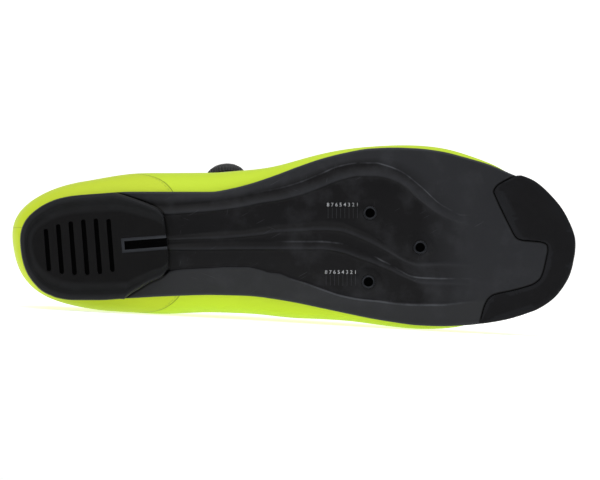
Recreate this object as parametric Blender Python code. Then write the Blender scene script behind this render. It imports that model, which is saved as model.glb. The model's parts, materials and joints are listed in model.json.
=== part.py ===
"""Road cycling shoe for the right foot, lying on its inner side with the sole to the front.

The pieces are modelled standing on the ball of the foot: X runs from heel to toe, +Y to the
inner side of the foot, -Y to the outer side, +Z up. Last, the whole shoe is laid on its inner
side, on the face that it would come to rest on, with the sole facing -Y and the toe at +X.
Tables hold their lengths as shares of the named sizes.
"""

import math

import bmesh
import bpy
import numpy as np
from mathutils import Matrix, Vector
from mathutils.bvhtree import BVHTree

for old in list(bpy.data.objects):
    bpy.data.objects.remove(old, do_unlink=True)

MM = 0.001

# Overall sizes
SOLE_LENGTH = 288.6 * MM
BALL_WIDTH = 93.0 * MM
INSTEP_HEIGHT = 92.0 * MM  # throat edge at its highest, over the ground
TOE_SPRING = 16.0 * MM  # underside of the toe tip over the ground

# Outsole plate
PLATE_WALL = 3.4 * MM
EDGE_CAMBER = 4.0 * MM  # how far the edges turn up at the waist
RELIEF = 1.3 * MM  # depth of the panels between the ribs
RIB_FLANK = 1.1 * MM

# Clearance between pieces that touch, and how far a cutter runs past what it cuts
GAP = 0.3 * MM
CUT_PAST = 6.0 * MM

# Heel pad
PAD_SLOTS = 6
PAD_SLOT_WIDTH = 2.6 * MM
PAD_SLOT_DEPTH = 3.0 * MM
PAD_SLOT_PITCH = 6.6 * MM
PAD_SLOT_TURN = 4.5  # degrees
PAD_KEY_LENGTH = 21.0 * MM
PAD_KEY_WIDTH = 3.6 * MM
PAD_KEY_DEPTH = 3.6 * MM
PAD_KEY_RIM = 1.7 * MM

# Toe bumper
BUMPER_WALL = 1.5 * MM
BUMPER_BASE = 1.6 * MM
BUMPER_WRAP = 14.0 * MM
BUMPER_LIP = 0.7 * MM  # how far its base laps round the sole's edge

# Cleat inserts
BOLT_BORE = 4.9 * MM
INSERT_DIAMETER = 6.8 * MM
SEAT_DIAMETER = 13.0 * MM
SEAT_PROUD = 0.4 * MM

# Upper
UPPER_WALL = 2.0 * MM
OVERHANG = 10.4 * MM  # the most the upper stands out past the sole's edge
FEATHER_INSET = 0.5 * MM
BULGE_RISE = 18.0 * MM  # from the sole's edge up to the upper's widest line

# Inside
INSOLE_WALL = 4.0 * MM
INSOLE_CLEARANCE = 1.0 * MM
TONGUE_WALL = 4.5 * MM
TONGUE_WIDTH = 46.0 * MM
TONGUE_CLEARANCE = 0.6 * MM
TONGUE_RISE = 26.0 * MM  # tongue tip over the throat edge
TONGUE_TUCK = 8.0 * MM  # how far it runs under the vamp
TONGUE_DROP = 7.0 * MM  # its edges below its middle

# Lace and dial
LACE_DIAMETER = 1.2 * MM
LACE_LIFT = 1.5 * MM
GUIDE_LENGTH = 13.0 * MM
GUIDE_WIDTH = 8.0 * MM
GUIDE_HEIGHT = 3.4 * MM
GUIDE_SETBACK = 5.6 * MM
DIAL_BASE_DIAMETER = 24.0 * MM
DIAL_BASE_HEIGHT = 3.6 * MM
KNOB_DIAMETER = 21.0 * MM
KNOB_HEIGHT = 5.6 * MM
KNOB_TOOTH = 0.7 * MM
KNOB_TEETH = 24

# Mesh steps: stations round the sole's edge, and sides of a round piece
HALF = 44
ROUND = 28
TOP_COLUMNS = 9
BOLT_SIDES = 18

# Sole edge: share of the length, then shares of the ball width to the outer and inner side.
SOLE_EDGE = (
    (0.000, 0.030, -0.030), (0.011, 0.140, 0.151), (0.025, 0.185, 0.218),
    (0.040, 0.218, 0.263), (0.054, 0.240, 0.285), (0.069, 0.257, 0.302),
    (0.097, 0.274, 0.313), (0.141, 0.285, 0.313), (0.198, 0.296, 0.302),
    (0.270, 0.296, 0.291), (0.342, 0.296, 0.285), (0.378, 0.313, 0.287),
    (0.414, 0.341, 0.291), (0.458, 0.386, 0.3075), (0.501, 0.436, 0.330),
    (0.544, 0.481, 0.358), (0.587, 0.514, 0.386), (0.631, 0.537, 0.414),
    (0.674, 0.542, 0.436), (0.717, 0.537, 0.453), (0.760, 0.520, 0.458),
    (0.804, 0.486, 0.453), (0.847, 0.447, 0.436), (0.890, 0.391, 0.403),
    (0.919, 0.358, 0.369), (0.933, 0.330, 0.352), (0.948, 0.291, 0.324),
    (0.962, 0.246, 0.291), (0.977, 0.190, 0.235), (0.991, 0.106, 0.157),
    (1.000, 0.010, -0.010),
)

# Underside of the plate: share of the length, its height as a share of the toe spring,
# and how much of the camber its edges have.
SOLE_SIDE = (
    (0.00, 0.60, 0.00), (0.10, 0.60, 0.00), (0.19, 0.60, 0.05), (0.265, 0.61, 0.45),
    (0.32, 0.68, 0.90), (0.38, 0.69, 1.00), (0.45, 0.57, 0.95), (0.52, 0.37, 0.85),
    (0.59, 0.18, 0.75), (0.65, 0.06, 0.70), (0.71, 0.01, 0.65), (0.76, 0.04, 0.60),
    (0.82, 0.16, 0.50), (0.88, 0.38, 0.40), (0.94, 0.66, 0.25), (1.00, 1.00, 0.10),
)

# Lines along the underside, outer side first: share of the length and share of the ball
# width, minus to the outer side.
OUTER_RIB_LOW = (
    (0.270, -0.218), (0.324, -0.229), (0.360, -0.240), (0.396, -0.257), (0.432, -0.280),
    (0.468, -0.302), (0.505, -0.335), (0.541, -0.380), (0.577, -0.425), (0.613, -0.442),
    (0.641, -0.442), (0.656, -0.431), (0.685, -0.397), (0.721, -0.313), (0.757, -0.212),
    (0.793, -0.150),
)
OUTER_RIB_CREST = (
    (0.270, -0.173), (0.324, -0.185), (0.360, -0.196), (0.396, -0.212), (0.432, -0.235),
    (0.468, -0.252), (0.505, -0.280), (0.541, -0.319), (0.577, -0.363), (0.613, -0.386),
    (0.641, -0.386), (0.656, -0.380), (0.685, -0.347), (0.721, -0.252), (0.757, -0.173),
    (0.793, -0.125),
)
SPINE_LOW = (
    (0.270, -0.045), (0.324, -0.062), (0.360, -0.073), (0.396, -0.078), (0.432, -0.095),
    (0.468, -0.112), (0.505, -0.123), (0.541, -0.134), (0.577, -0.129), (0.595, -0.106),
    (0.613, -0.084), (0.631, -0.060), (0.649, -0.016), (0.667, 0.024), (0.685, 0.063),
    (0.703, 0.091), (0.721, 0.102), (0.757, 0.095),
)
SPINE_CREST = (
    (0.270, -0.028), (0.324, -0.034), (0.360, -0.036), (0.396, -0.045), (0.432, -0.056),
    (0.468, -0.073), (0.505, -0.078), (0.541, -0.084), (0.577, -0.078), (0.595, -0.062),
    (0.613, -0.039), (0.631, -0.015), (0.649, 0.014), (0.667, 0.045), (0.685, 0.078),
    (0.703, 0.104), (0.721, 0.116), (0.757, 0.112),
)
KEEL_LOW = (
    (0.270, 0.000), (0.324, -0.011), (0.396, -0.017), (0.541, -0.017), (0.577, -0.006),
    (0.595, 0.006), (0.613, 0.028), (0.631, 0.050), (0.649, 0.084), (0.667, 0.112),
    (0.685, 0.145), (0.703, 0.175), (0.721, 0.185), (0.757, 0.190),
)
KEEL_CREST = (
    (0.270, 0.028), (0.324, 0.028), (0.396, 0.025), (0.541, 0.025), (0.577, 0.039),
    (0.595, 0.056), (0.613, 0.078), (0.631, 0.096), (0.649, 0.118), (0.667, 0.140),
    (0.685, 0.168), (0.703, 0.192), (0.721, 0.212), (0.757, 0.218),
)
INNER_RAIL = (
    (0.262, 0.157), (0.270, 0.143), (0.306, 0.131), (0.342, 0.126), (0.378, 0.120),
    (0.405, 0.120), (0.432, 0.134), (0.450, 0.151), (0.468, 0.157), (0.486, 0.179),
    (0.515, 0.207), (0.544, 0.240), (0.577, 0.274), (0.613, 0.296), (0.649, 0.307),
    (0.681, 0.321), (0.721, 0.327), (0.757, 0.327), (0.793, 0.316), (0.820, 0.305),
)

# Front seam of the heel pad, outer side first: share of the length, share of the width.
PAD_SEAM = (
    (0.1712, -0.2907), (0.2054, -0.2572), (0.2342, -0.2237), (0.2486, -0.2013),
    (0.2577, -0.1677), (0.2613, -0.1286), (0.2649, -0.0280), (0.2667, 0.0727),
    (0.2676, 0.1230), (0.2631, 0.1566), (0.2541, 0.1845), (0.2342, 0.2125),
    (0.2162, 0.2460), (0.1982, 0.2796), (0.1874, 0.3075),
)
# Rings of the pad from its top down: height and length kept, width kept.
PAD_RINGS = (
    (1.00, 1.000, 1.00), (0.36, 0.996, 0.99), (0.13, 0.975, 0.92), (0.085, 0.945, 0.80),
    (0.00, 0.900, 0.62),
)

# Inner seam of the toe bumper: angle round the sole's edge in radians, share of the length,
# share of the width, and the wrap's height there.
BUMPER_SEAM = (
    (2.510, 0.8955, -0.3770, 0.30), (2.535, 0.8793, -0.3580, 0.42), (2.570, 0.8649, -0.3380, 0.52),
    (2.600, 0.8577, -0.3160, 0.60), (2.630, 0.8551, -0.2935, 0.66), (2.660, 0.8595, -0.2630, 0.72),
    (2.700, 0.8667, -0.2125, 0.80), (2.760, 0.8775, -0.1450, 0.88), (2.820, 0.8865, -0.0895, 0.94),
    (2.880, 0.8937, -0.0447, 0.98), (2.930, 0.9009, -0.0280, 1.00), (2.980, 0.9189, -0.0224, 1.00),
    (3.040, 0.9441, -0.0196, 1.00), (3.100, 0.9532, 0.0000, 1.00), (3.160, 0.9550, 0.0280, 1.00),
    (3.240, 0.9514, 0.0840, 1.00), (3.340, 0.9459, 0.1566, 1.00), (3.420, 0.9405, 0.1957, 0.98),
    (3.500, 0.9279, 0.2265, 0.94), (3.580, 0.9081, 0.2460, 0.88), (3.680, 0.8829, 0.2656, 0.80),
    (3.770, 0.8577, 0.2796, 0.70), (3.820, 0.8468, 0.2963, 0.62), (3.870, 0.8396, 0.3300, 0.54),
    (3.920, 0.8353, 0.3746, 0.44), (3.965, 0.8317, 0.4194, 0.34), (3.985, 0.8306, 0.4330, 0.30),
)

BUMPER_STEP = 0.075  # the widest step between its sections, in radians

# Upper's stand past the sole's edge: share of the length, then outer and inner side.
UPPER_STAND = (
    (0.000, 0.37, 0.37), (0.011, 0.50, 0.26), (0.040, 0.52, 0.16), (0.068, 0.60, 0.22),
    (0.097, 0.70, 0.36), (0.126, 0.75, 0.50), (0.155, 0.85, 0.61), (0.184, 0.92, 0.71),
    (0.213, 1.00, 0.81), (0.256, 1.00, 0.94), (0.328, 1.03, 0.92), (0.393, 0.90, 0.95),
    (0.443, 0.60, 0.92), (0.472, 0.45, 0.90), (0.515, 0.36, 0.79), (0.544, 0.31, 0.60),
    (0.573, 0.26, 0.48), (0.602, 0.20, 0.36), (0.645, 0.15, 0.30), (0.703, 0.20, 0.25),
    (0.775, 0.25, 0.15), (0.815, 0.20, 0.02), (0.832, 0.16, -0.19), (0.875, 0.08, -0.20),
    (0.902, -0.20, -0.20), (1.000, -0.20, -0.20),
)
# Widest line of the upper: share of the length, then share of the bulge rise.
UPPER_RISE = (
    (0.00, 0.95), (0.10, 0.90), (0.20, 0.95), (0.30, 0.95), (0.40, 0.85), (0.50, 0.72),
    (0.60, 0.60), (0.70, 0.52), (0.80, 0.45), (0.90, 0.38), (1.00, 0.36),
)
# Rim of collar and throat for each place along the sole: its share of the length, its share
# of the ball width either side, its height as a share of the instep height, the fall of the
# wall next to it in degrees, and how straight the wall runs up from its widest line.
UPPER_RIM = (
    (0.000, 0.012, 0.000, 0.925, 84, 0.45), (0.012, 0.017, 0.108, 0.920, 84, 0.45),
    (0.035, 0.029, 0.199, 0.902, 84, 0.45), (0.070, 0.059, 0.280, 0.860, 84, 0.45),
    (0.110, 0.100, 0.333, 0.810, 84, 0.45), (0.160, 0.156, 0.360, 0.739, 84, 0.45),
    (0.210, 0.208, 0.366, 0.712, 84, 0.45), (0.260, 0.260, 0.355, 0.734, 82, 0.45),
    (0.310, 0.308, 0.317, 0.815, 76, 0.47), (0.355, 0.350, 0.253, 0.924, 66, 0.50),
    (0.400, 0.388, 0.183, 0.995, 52, 0.52), (0.450, 0.440, 0.151, 0.973, 42, 0.55),
    (0.520, 0.513, 0.142, 0.886, 34, 0.58), (0.590, 0.582, 0.135, 0.788, 27, 0.60),
    (0.660, 0.638, 0.118, 0.717, 21, 0.60), (0.740, 0.672, 0.090, 0.674, 17, 0.60),
    (0.830, 0.691, 0.058, 0.652, 15, 0.58), (0.920, 0.700, 0.028, 0.643, 14, 0.56),
    (1.000, 0.702, 0.000, 0.641, 14, 0.55),
)
RIM_CENTRE = ((0.0, 0.000), (0.30, 0.012), (0.50, 0.030), (1.0, 0.040))
WALL_STEPS = (0.17, 0.36, 0.55, 0.73, 0.88, 1.0)

# Tongue's middle line: place between its tip and its front end, and its width there.
TONGUE_TIP_X = 0.318
TONGUE_LINE = ((0.0, 0.72), (0.10, 0.82), (0.25, 0.94), (0.4, 1.0), (0.7, 0.96), (1.0, 0.80))

# Bolt holes and the dial: share of the length, share of the width or of the wall's height.
BOLTS = {
    "outer": (0.631, -0.1756),
    "inner": (0.628, 0.2090),
    "front": (0.721, 0.0168),
}
DIAL_PLACE = (0.376, 0.48)
GUIDES = (
    ("inner_top", 1, 0.452), ("outer_top", -1, 0.522), ("inner_low", 1, 0.585),
)
ANCHOR = ("lace_anchor", -1, 0.640)


def curve(rows, column=1, by_angle=True):
    """A smooth function of the share of the length through a table's rows, with no overshoot."""
    place = [math.acos(1 - 2 * row[0]) if by_angle else row[0] for row in rows]
    x, y = np.array(place, float), np.array([row[column] for row in rows], float)
    h = np.diff(x)
    slope = np.diff(y) / h
    m = np.zeros(len(y))
    m[0], m[-1] = slope[0], slope[-1]
    for i in range(1, len(y) - 1):
        if slope[i - 1] * slope[i] > 0:
            a, b = 2 * h[i] + h[i - 1], h[i] + 2 * h[i - 1]
            m[i] = (a + b) / (a / slope[i - 1] + b / slope[i])

    def value(share):
        at = math.acos(1 - 2 * min(max(share, 0.0), 1.0)) if by_angle else share
        at = min(max(at, x[0]), x[-1])
        i = min(int(np.searchsorted(x, at, side="right")) - 1, len(h) - 1)
        t = (at - x[i]) / h[i]
        return float(
            y[i] * (1 + 2 * t) * (1 - t) ** 2
            + m[i] * h[i] * t * (1 - t) ** 2
            + y[i + 1] * t * t * (3 - 2 * t)
            - m[i + 1] * h[i] * t * t * (1 - t)
        )

    return value


outer_edge, inner_edge = curve(SOLE_EDGE, 1), curve(SOLE_EDGE, 2)
side_height, side_camber = curve(SOLE_SIDE, 1), curve(SOLE_SIDE, 2)
outer_stand, inner_stand = curve(UPPER_STAND, 1), curve(UPPER_STAND, 2)
bulge_rise = curve(UPPER_RISE)
rim_x, rim_y, rim_z = curve(UPPER_RIM, 1), curve(UPPER_RIM, 2), curve(UPPER_RIM, 3)
rim_fall, wall_rise, rim_centre = curve(UPPER_RIM, 4), curve(UPPER_RIM, 5), curve(RIM_CENTRE)


def share_at(step):
    return (1 - math.cos(math.pi * step / HALF)) / 2


def edge_y(share, side):
    """Sole edge at a share of the length, on the outer (-1) or the inner (1) side."""
    return BALL_WIDTH * (inner_edge(share) if side > 0 else -outer_edge(share))


def underside(x, y):
    """Height of the plate's underside, without its ribs."""
    share = min(max(x / SOLE_LENGTH, 0.0), 1.0)
    middle = (edge_y(share, 1) + edge_y(share, -1)) / 2
    reach = max(abs(edge_y(share, 1) - middle), 1 * MM)
    across = min(abs(y - middle) / reach, 1.1)
    return TOE_SPRING * side_height(share) + EDGE_CAMBER * side_camber(share) * across**2.2


def rim_of_sole(angle):
    """Point on the sole's edge and the direction straight out of it; 0 is the heel."""
    def spot(a):
        a %= 2 * math.pi
        share = (1 - math.cos(a)) / 2
        return Vector((SOLE_LENGTH * share, edge_y(share, -1 if a < math.pi else 1), 0))

    step = 0.02
    along = spot(angle + step) - spot(angle - step)
    return spot(angle), Vector((along.y, -along.x, 0)).normalized()


def material(name, colour, roughness, metallic=0.0):
    made = bpy.data.materials.new(name)
    made.use_nodes = True
    made.diffuse_color = (*colour, 1)
    shader = made.node_tree.nodes["Principled BSDF"]
    shader.inputs["Base Color"].default_value = (*colour, 1)
    shader.inputs["Roughness"].default_value = roughness
    shader.inputs["Metallic"].default_value = metallic
    return made


PLATE_FINISH = material("nylon_composite", (0.022, 0.022, 0.026), 0.42)
RUBBER = material("rubber", (0.012, 0.012, 0.014), 0.7)
SHELL = material("microfibre", (0.60, 0.83, 0.04), 0.5)
LINING = material("lining_fabric", (0.03, 0.03, 0.035), 0.9)
FOAM = material("insole_foam", (0.05, 0.05, 0.055), 0.9)
STEEL = material("insert_steel", (0.35, 0.35, 0.37), 0.35, 1.0)
PLASTIC = material("dial_plastic", (0.015, 0.015, 0.017), 0.35)
CORD = material("lace_cord", (0.05, 0.05, 0.055), 0.5)

SHOE = bpy.data.objects.new("shoe", None)
bpy.context.collection.objects.link(SHOE)


def piece(name, points, faces, finish, smooth=True):
    """A closed solid from points and faces, under the shoe's empty."""
    mesh = bpy.data.meshes.new(name)
    mesh.from_pydata([tuple(p) for p in points], [], faces)
    work = bmesh.new()
    work.from_mesh(mesh)
    bmesh.ops.remove_doubles(work, verts=work.verts, dist=0.00002)
    bmesh.ops.recalc_face_normals(work, faces=work.faces)
    work.to_mesh(mesh)
    work.free()
    mesh.materials.append(finish)
    if smooth:
        mesh.shade_smooth()
        mesh.set_sharp_from_angle(angle=math.radians(32))
    obj = bpy.data.objects.new(name, mesh)
    obj.parent = SHOE
    bpy.context.collection.objects.link(obj)
    return obj


def cutter(obj):
    obj.hide_render = True
    obj.display_type = "WIRE"
    return obj


def combine(obj, other, operation):
    """A Boolean with a mesh, applied, and the other mesh kept as a wire guide."""
    change = obj.modifiers.new(operation.lower(), "BOOLEAN")
    change.operation = operation
    change.solver = "EXACT"
    change.object = cutter(other)
    bpy.context.view_layer.update()
    ready = obj.evaluated_get(bpy.context.evaluated_depsgraph_get())
    mesh = bpy.data.meshes.new_from_object(ready)
    obj.modifiers.clear()
    obj.data = mesh
    bpy.data.objects.remove(other, do_unlink=True)


def loft(rows, closed_rows=False, closed_ends=False):
    """Faces over a grid of point rows; rows of one point close to a fan."""
    points, starts = [], []
    for row in rows:
        starts.append(len(points))
        points += row
    faces = []
    for i in range(len(rows) - (0 if closed_rows else 1)):
        a, b = rows[i], rows[(i + 1) % len(rows)]
        sa, sb = starts[i], starts[(i + 1) % len(rows)]
        count = max(len(a), len(b))
        for j in range(count if closed_ends else count - 1):
            k = (j + 1) % count
            ring = [sa + (j if len(a) > 1 else 0), sa + (k if len(a) > 1 else 0)]
            ring += [sb + (k if len(b) > 1 else 0), sb + (j if len(b) > 1 else 0)]
            ring = list(dict.fromkeys(ring))
            if len(ring) > 2:
                faces.append(ring)
    return points, faces


def side_walls(low, high, shift):
    """Faces that close two grids of stations, one over the other, down both their sides."""
    faces = []
    for last in (False, True):
        lines = []
        for rows, start in ((low, 0), (high, shift)):
            line = []
            for row in rows:
                line.append(start + (len(row) - 1 if last else 0))
                start += len(row)
            lines.append(line)
        for k in range(len(low) - 1):
            faces.append([lines[0][k], lines[0][k + 1], lines[1][k + 1], lines[1][k]])
    return faces


def prism(name, outline, low, high, finish):
    """An upright prism over a closed outline of (x, y) points."""
    count = len(outline)
    points = [(x, y, low) for x, y in outline] + [(x, y, high) for x, y in outline]
    faces = [list(range(count))[::-1], list(range(count, 2 * count))]
    for i in range(count):
        j = (i + 1) % count
        faces.append([i, j, count + j, count + i])
    return piece(name, points, faces, finish, smooth=False)


def disc(centre, radius, sides=ROUND):
    return [
        (centre[0] + radius * math.cos(2 * math.pi * i / sides),
         centre[1] + radius * math.sin(2 * math.pi * i / sides))
        for i in range(sides)
    ]


def tube(name, path, radius, sides, finish):
    """A round rod along a path, closed at both ends."""
    path = [Vector(p) for p in path]
    up = Vector((0, 0, 1))
    rows = []
    for i, spot in enumerate(path):
        ahead = (path[min(i + 1, len(path) - 1)] - path[max(i - 1, 0)]).normalized()
        across = ahead.cross(up).normalized()
        up = across.cross(ahead).normalized()
        rows.append([
            tuple(spot + radius * (math.cos(a) * across + math.sin(a) * up))
            for a in (2 * math.pi * k / sides for k in range(sides))
        ])
    points, faces = loft(rows, closed_ends=True)
    faces += [list(range(sides))[::-1], list(range(len(points) - sides, len(points)))]
    return piece(name, points, faces, finish)


# The outsole plate: columns across it follow the rib lines, stations run along it.
# Each column: its line, a step aside from it, and its depth as a share of the relief.
SIDE_LINE = "edge"
COLUMNS = (
    (SIDE_LINE, -1, 0.0),
    ("between", 0, 0.0),
    (OUTER_RIB_LOW, 0, 0.5),
    (OUTER_RIB_CREST, 0, 0.0),
    (OUTER_RIB_CREST, 1, 1.0),
    (SPINE_LOW, 0, 1.0),
    (SPINE_CREST, 0, 0.1),
    (SPINE_CREST, 1, 0.8),
    (KEEL_LOW, 0, 0.8),
    (KEEL_CREST, 0, 0.1),
    (KEEL_CREST, 1, 1.0),
    (INNER_RAIL, 0, 1.0),
    (INNER_RAIL, 1, 0.0),
    ("between", 0, 0.0),
    (SIDE_LINE, 1, 0.0),
)
RELIEF_FADE = curve(
    ((0.0, 0.0), (0.15, 0.0), (0.19, 1.0), (0.58, 1.0), (0.66, 0.62), (0.76, 0.22),
     (0.80, 0.0), (1.0, 0.0)), by_angle=False,
)


def column_share(index):
    """Where a column crosses, from 0 at the outer edge to 1 at the inner edge."""
    line, aside, _ = COLUMNS[index]
    even = index / (len(COLUMNS) - 1)
    rows = [(0.0, even), (0.15, even)]
    for share, place in line:
        wide = BALL_WIDTH * (outer_edge(share) + inner_edge(share))
        y = BALL_WIDTH * place + aside * RIB_FLANK
        rows.append((share, (y - edge_y(share, -1)) / wide))
    rows += [(0.88, even), (1.0, even)]
    return curve(rows)


def sole_columns(share, shares):
    """The crossing points of all columns at one station, kept in order."""
    found = [None] * len(COLUMNS)
    for i, line in shares.items():
        found[i] = line(share)
    found[0], found[-1] = 0.0, 1.0
    found[1] = found[2] / 2
    found[-2] = (found[-3] + 1) / 2
    least = 0.006
    for i in range(1, len(found)):
        found[i] = max(found[i], found[i - 1] + least)
    for i in range(len(found) - 2, -1, -1):
        found[i] = min(found[i], found[i + 1] - least if i < len(found) - 2 else 1 - least)
    return found


def make_outsole():
    shares = {i: column_share(i) for i, c in enumerate(COLUMNS) if not isinstance(c[0], str)}
    low, high = [], []
    for i in range(HALF + 1):
        share = share_at(i)
        x = SOLE_LENGTH * share
        if i in (0, HALF):
            spot = rim_of_sole(math.pi * i / HALF)[0]
            z = underside(spot.x, spot.y)
            low.append([(spot.x, spot.y, z)])
            high.append([(spot.x, spot.y, z + PLATE_WALL)])
            continue
        a, b = edge_y(share, -1), edge_y(share, 1)
        row = []
        for (line, aside, depth), place in zip(COLUMNS, sole_columns(share, shares)):
            y = a + (b - a) * place
            row.append((x, y, underside(x, y) + RELIEF * depth * RELIEF_FADE(share)))
        top = []
        for k in range(TOP_COLUMNS):
            y = a + (b - a) * k / (TOP_COLUMNS - 1)
            top.append((x, y, underside(x, y) + PLATE_WALL))
        low.append(row)
        high.append(top)
    points, faces = loft(low)
    more, top_faces = loft(high)
    shift = len(points)
    faces += [[shift + v for v in face] for face in top_faces]
    points += more
    faces += side_walls(low, high, shift)
    return piece("outsole", points, faces, PLATE_FINISH)


def upper_section(angle):
    """The outside of the upper from the sole's edge to the rim, in one upright slice."""
    spot, out = rim_of_sole(angle)
    angle %= 2 * math.pi
    share = (1 - math.cos(angle)) / 2
    side = -1 if angle < math.pi else 1
    stand = OVERHANG * (inner_stand(share) if side > 0 else outer_stand(share))
    inset = FEATHER_INSET + max(0.0, -stand - GAP)
    foot_z = underside(spot.x, spot.y) + PLATE_WALL + GAP
    foot = spot - inset * out
    foot.z = foot_z
    widest = spot + stand * out
    widest.z = foot_z + BULGE_RISE * bulge_rise(share)
    rim = Vector((
        SOLE_LENGTH * rim_x(share),
        BALL_WIDTH * (rim_centre(share) + side * rim_y(share)),
        INSTEP_HEIGHT * rim_z(share),
    ))
    low = Vector((widest.x, widest.y, foot_z + 0.25 * (widest.z - foot_z)))
    section = [foot, 0.25 * foot + 0.5 * low + 0.25 * widest, widest]
    reach = (rim - widest).length
    flat = Vector((widest.x - rim.x, widest.y - rim.y, 0))
    flat = flat.normalized() if flat.length > 1e-6 else out
    fall = math.radians(rim_fall(share))
    near_rim = rim + 0.42 * reach * (math.cos(fall) * flat - Vector((0, 0, math.sin(fall))))
    straight = widest + Vector((0, 0, wall_rise(share) * (rim.z - widest.z)))
    for t in WALL_STEPS:
        section.append(
            (1 - t) ** 3 * widest + 3 * t * (1 - t) ** 2 * straight
            + 3 * t * t * (1 - t) * near_rim + t**3 * rim
        )
    return section


SECTIONS = [upper_section(math.pi * i / HALF) for i in range(2 * HALF)]


def grid_normals(rows):
    """Outward normals of a grid that closes round along its first index."""
    count, found = len(rows), []
    for i, row in enumerate(rows):
        line = []
        for j in range(len(row)):
            along = rows[(i + 1) % count][j] - rows[i - 1][j]
            up = row[min(j + 1, len(row) - 1)] - row[max(j - 1, 0)]
            line.append(along.cross(up).normalized())
        found.append(line)
    return found


NORMALS = grid_normals(SECTIONS)
if sum(n[2].dot(rim_of_sole(math.pi * i / HALF)[1]) for i, n in enumerate(NORMALS)) < 0:
    NORMALS = [[-n for n in line] for line in NORMALS]


def make_upper():
    inside = []
    for i, (row, normals) in enumerate(zip(SECTIONS, NORMALS)):
        out = rim_of_sole(math.pi * i / HALF)[1]
        line = [row[0] - UPPER_WALL * out]
        line += [p - UPPER_WALL * n for p, n in zip(row[1:], normals[1:])]
        inside.append(line)
    rows = [row + line[::-1] for row, line in zip(SECTIONS, inside)]
    points, faces = loft(rows, closed_rows=True, closed_ends=True)
    return piece("upper", points, faces, SHELL)


def on_upper(share, side, from_rim):
    """Point and normal of the upper's outside, a length down from its rim."""
    step = math.acos(1 - 2 * share) / math.pi * HALF
    place = step if side < 0 else 2 * HALF - step
    i, part = int(place) % (2 * HALF), place % 1
    j = (i + 1) % (2 * HALF)
    line = [SECTIONS[i][k].lerp(SECTIONS[j][k], part) for k in range(len(SECTIONS[i]))][::-1]
    normals = [NORMALS[i][k].lerp(NORMALS[j][k], part) for k in range(len(NORMALS[i]))][::-1]
    left = from_rim
    for a, b, m, n in zip(line, line[1:], normals, normals[1:]):
        span = (b - a).length
        if left <= span:
            return a.lerp(b, left / span), m.lerp(n, left / span).normalized()
        left -= span
    return line[-1], normals[-1].normalized()


def make_pad():
    low_angle = math.acos(1 - 2 * PAD_SEAM[0][0])
    high_angle = math.acos(1 - 2 * PAD_SEAM[-1][0])
    outline = [(SOLE_LENGTH * s, BALL_WIDTH * w) for s, w in PAD_SEAM]
    steps = 30
    for k in range(1, steps):
        angle = -high_angle + (low_angle + high_angle) * k / steps
        spot = rim_of_sole(angle)[0]
        outline.append((spot.x, spot.y))
    front = SOLE_LENGTH * PAD_SEAM[7][0]
    top = TOE_SPRING * side_height(0) - GAP
    middle = sum(y for _, y in outline) / len(outline)
    rows = []
    for height, long, wide in PAD_RINGS:
        rows.append([
            (front + (x - front) * long, middle + (y - middle) * wide, top * height)
            for x, y in outline
        ])
    points, faces = loft(rows, closed_ends=True)
    count = len(outline)
    faces += [list(range(count)), list(range(len(points) - count, len(points)))[::-1]]
    pad = piece("heel_pad", points, faces, RUBBER)
    turn = math.radians(PAD_SLOT_TURN)
    first = SOLE_LENGTH * 0.0505
    for k in range(PAD_SLOTS):
        x = first + k * PAD_SLOT_PITCH
        end = k / (PAD_SLOTS - 1)
        half = BALL_WIDTH * (0.118 + 0.040 * math.sin(math.pi * min(1.0, end * 1.25 + 0.12)))
        middle_y = BALL_WIDTH * (0.038 - 0.012 * end)
        outline = []
        for sign in (1, -1):
            for j in range(7):
                a = math.pi * j / 6
                local = (
                    sign * PAD_SLOT_WIDTH / 2 * math.cos(a),
                    sign * (half + PAD_SLOT_WIDTH / 2 * (math.sin(a) - 1)),
                )
                outline.append((
                    x + local[0] * math.cos(turn) + local[1] * math.sin(turn),
                    middle_y - local[0] * math.sin(turn) + local[1] * math.cos(turn),
                ))
        combine(pad, prism("slot", outline, -1 * MM, PAD_SLOT_DEPTH, RUBBER), "DIFFERENCE")
    for rim, depth in ((PAD_KEY_RIM, PAD_KEY_DEPTH * 0.3), (0.0, PAD_KEY_DEPTH)):
        back = front - PAD_KEY_LENGTH - rim
        half = PAD_KEY_WIDTH / 2 + rim
        lean = math.tan(math.radians(-3.0))
        outline = []
        for x, y in ((back, -half), (front + 5 * MM, -half), (front + 5 * MM, half), (back, half)):
            outline.append((x, y + BALL_WIDTH * 0.006 + (x - back) * lean))
        combine(pad, prism("key", outline, -1 * MM, depth, RUBBER), "DIFFERENCE")
    return pad


def at_height(section, z):
    """The point where a slice of the upper first reaches a height."""
    for a, b in zip(section, section[1:]):
        if b.z >= z:
            return a.lerp(b, max(0.0, z - a.z) / max(b.z - a.z, 1e-9))
    return section[-1]


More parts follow.
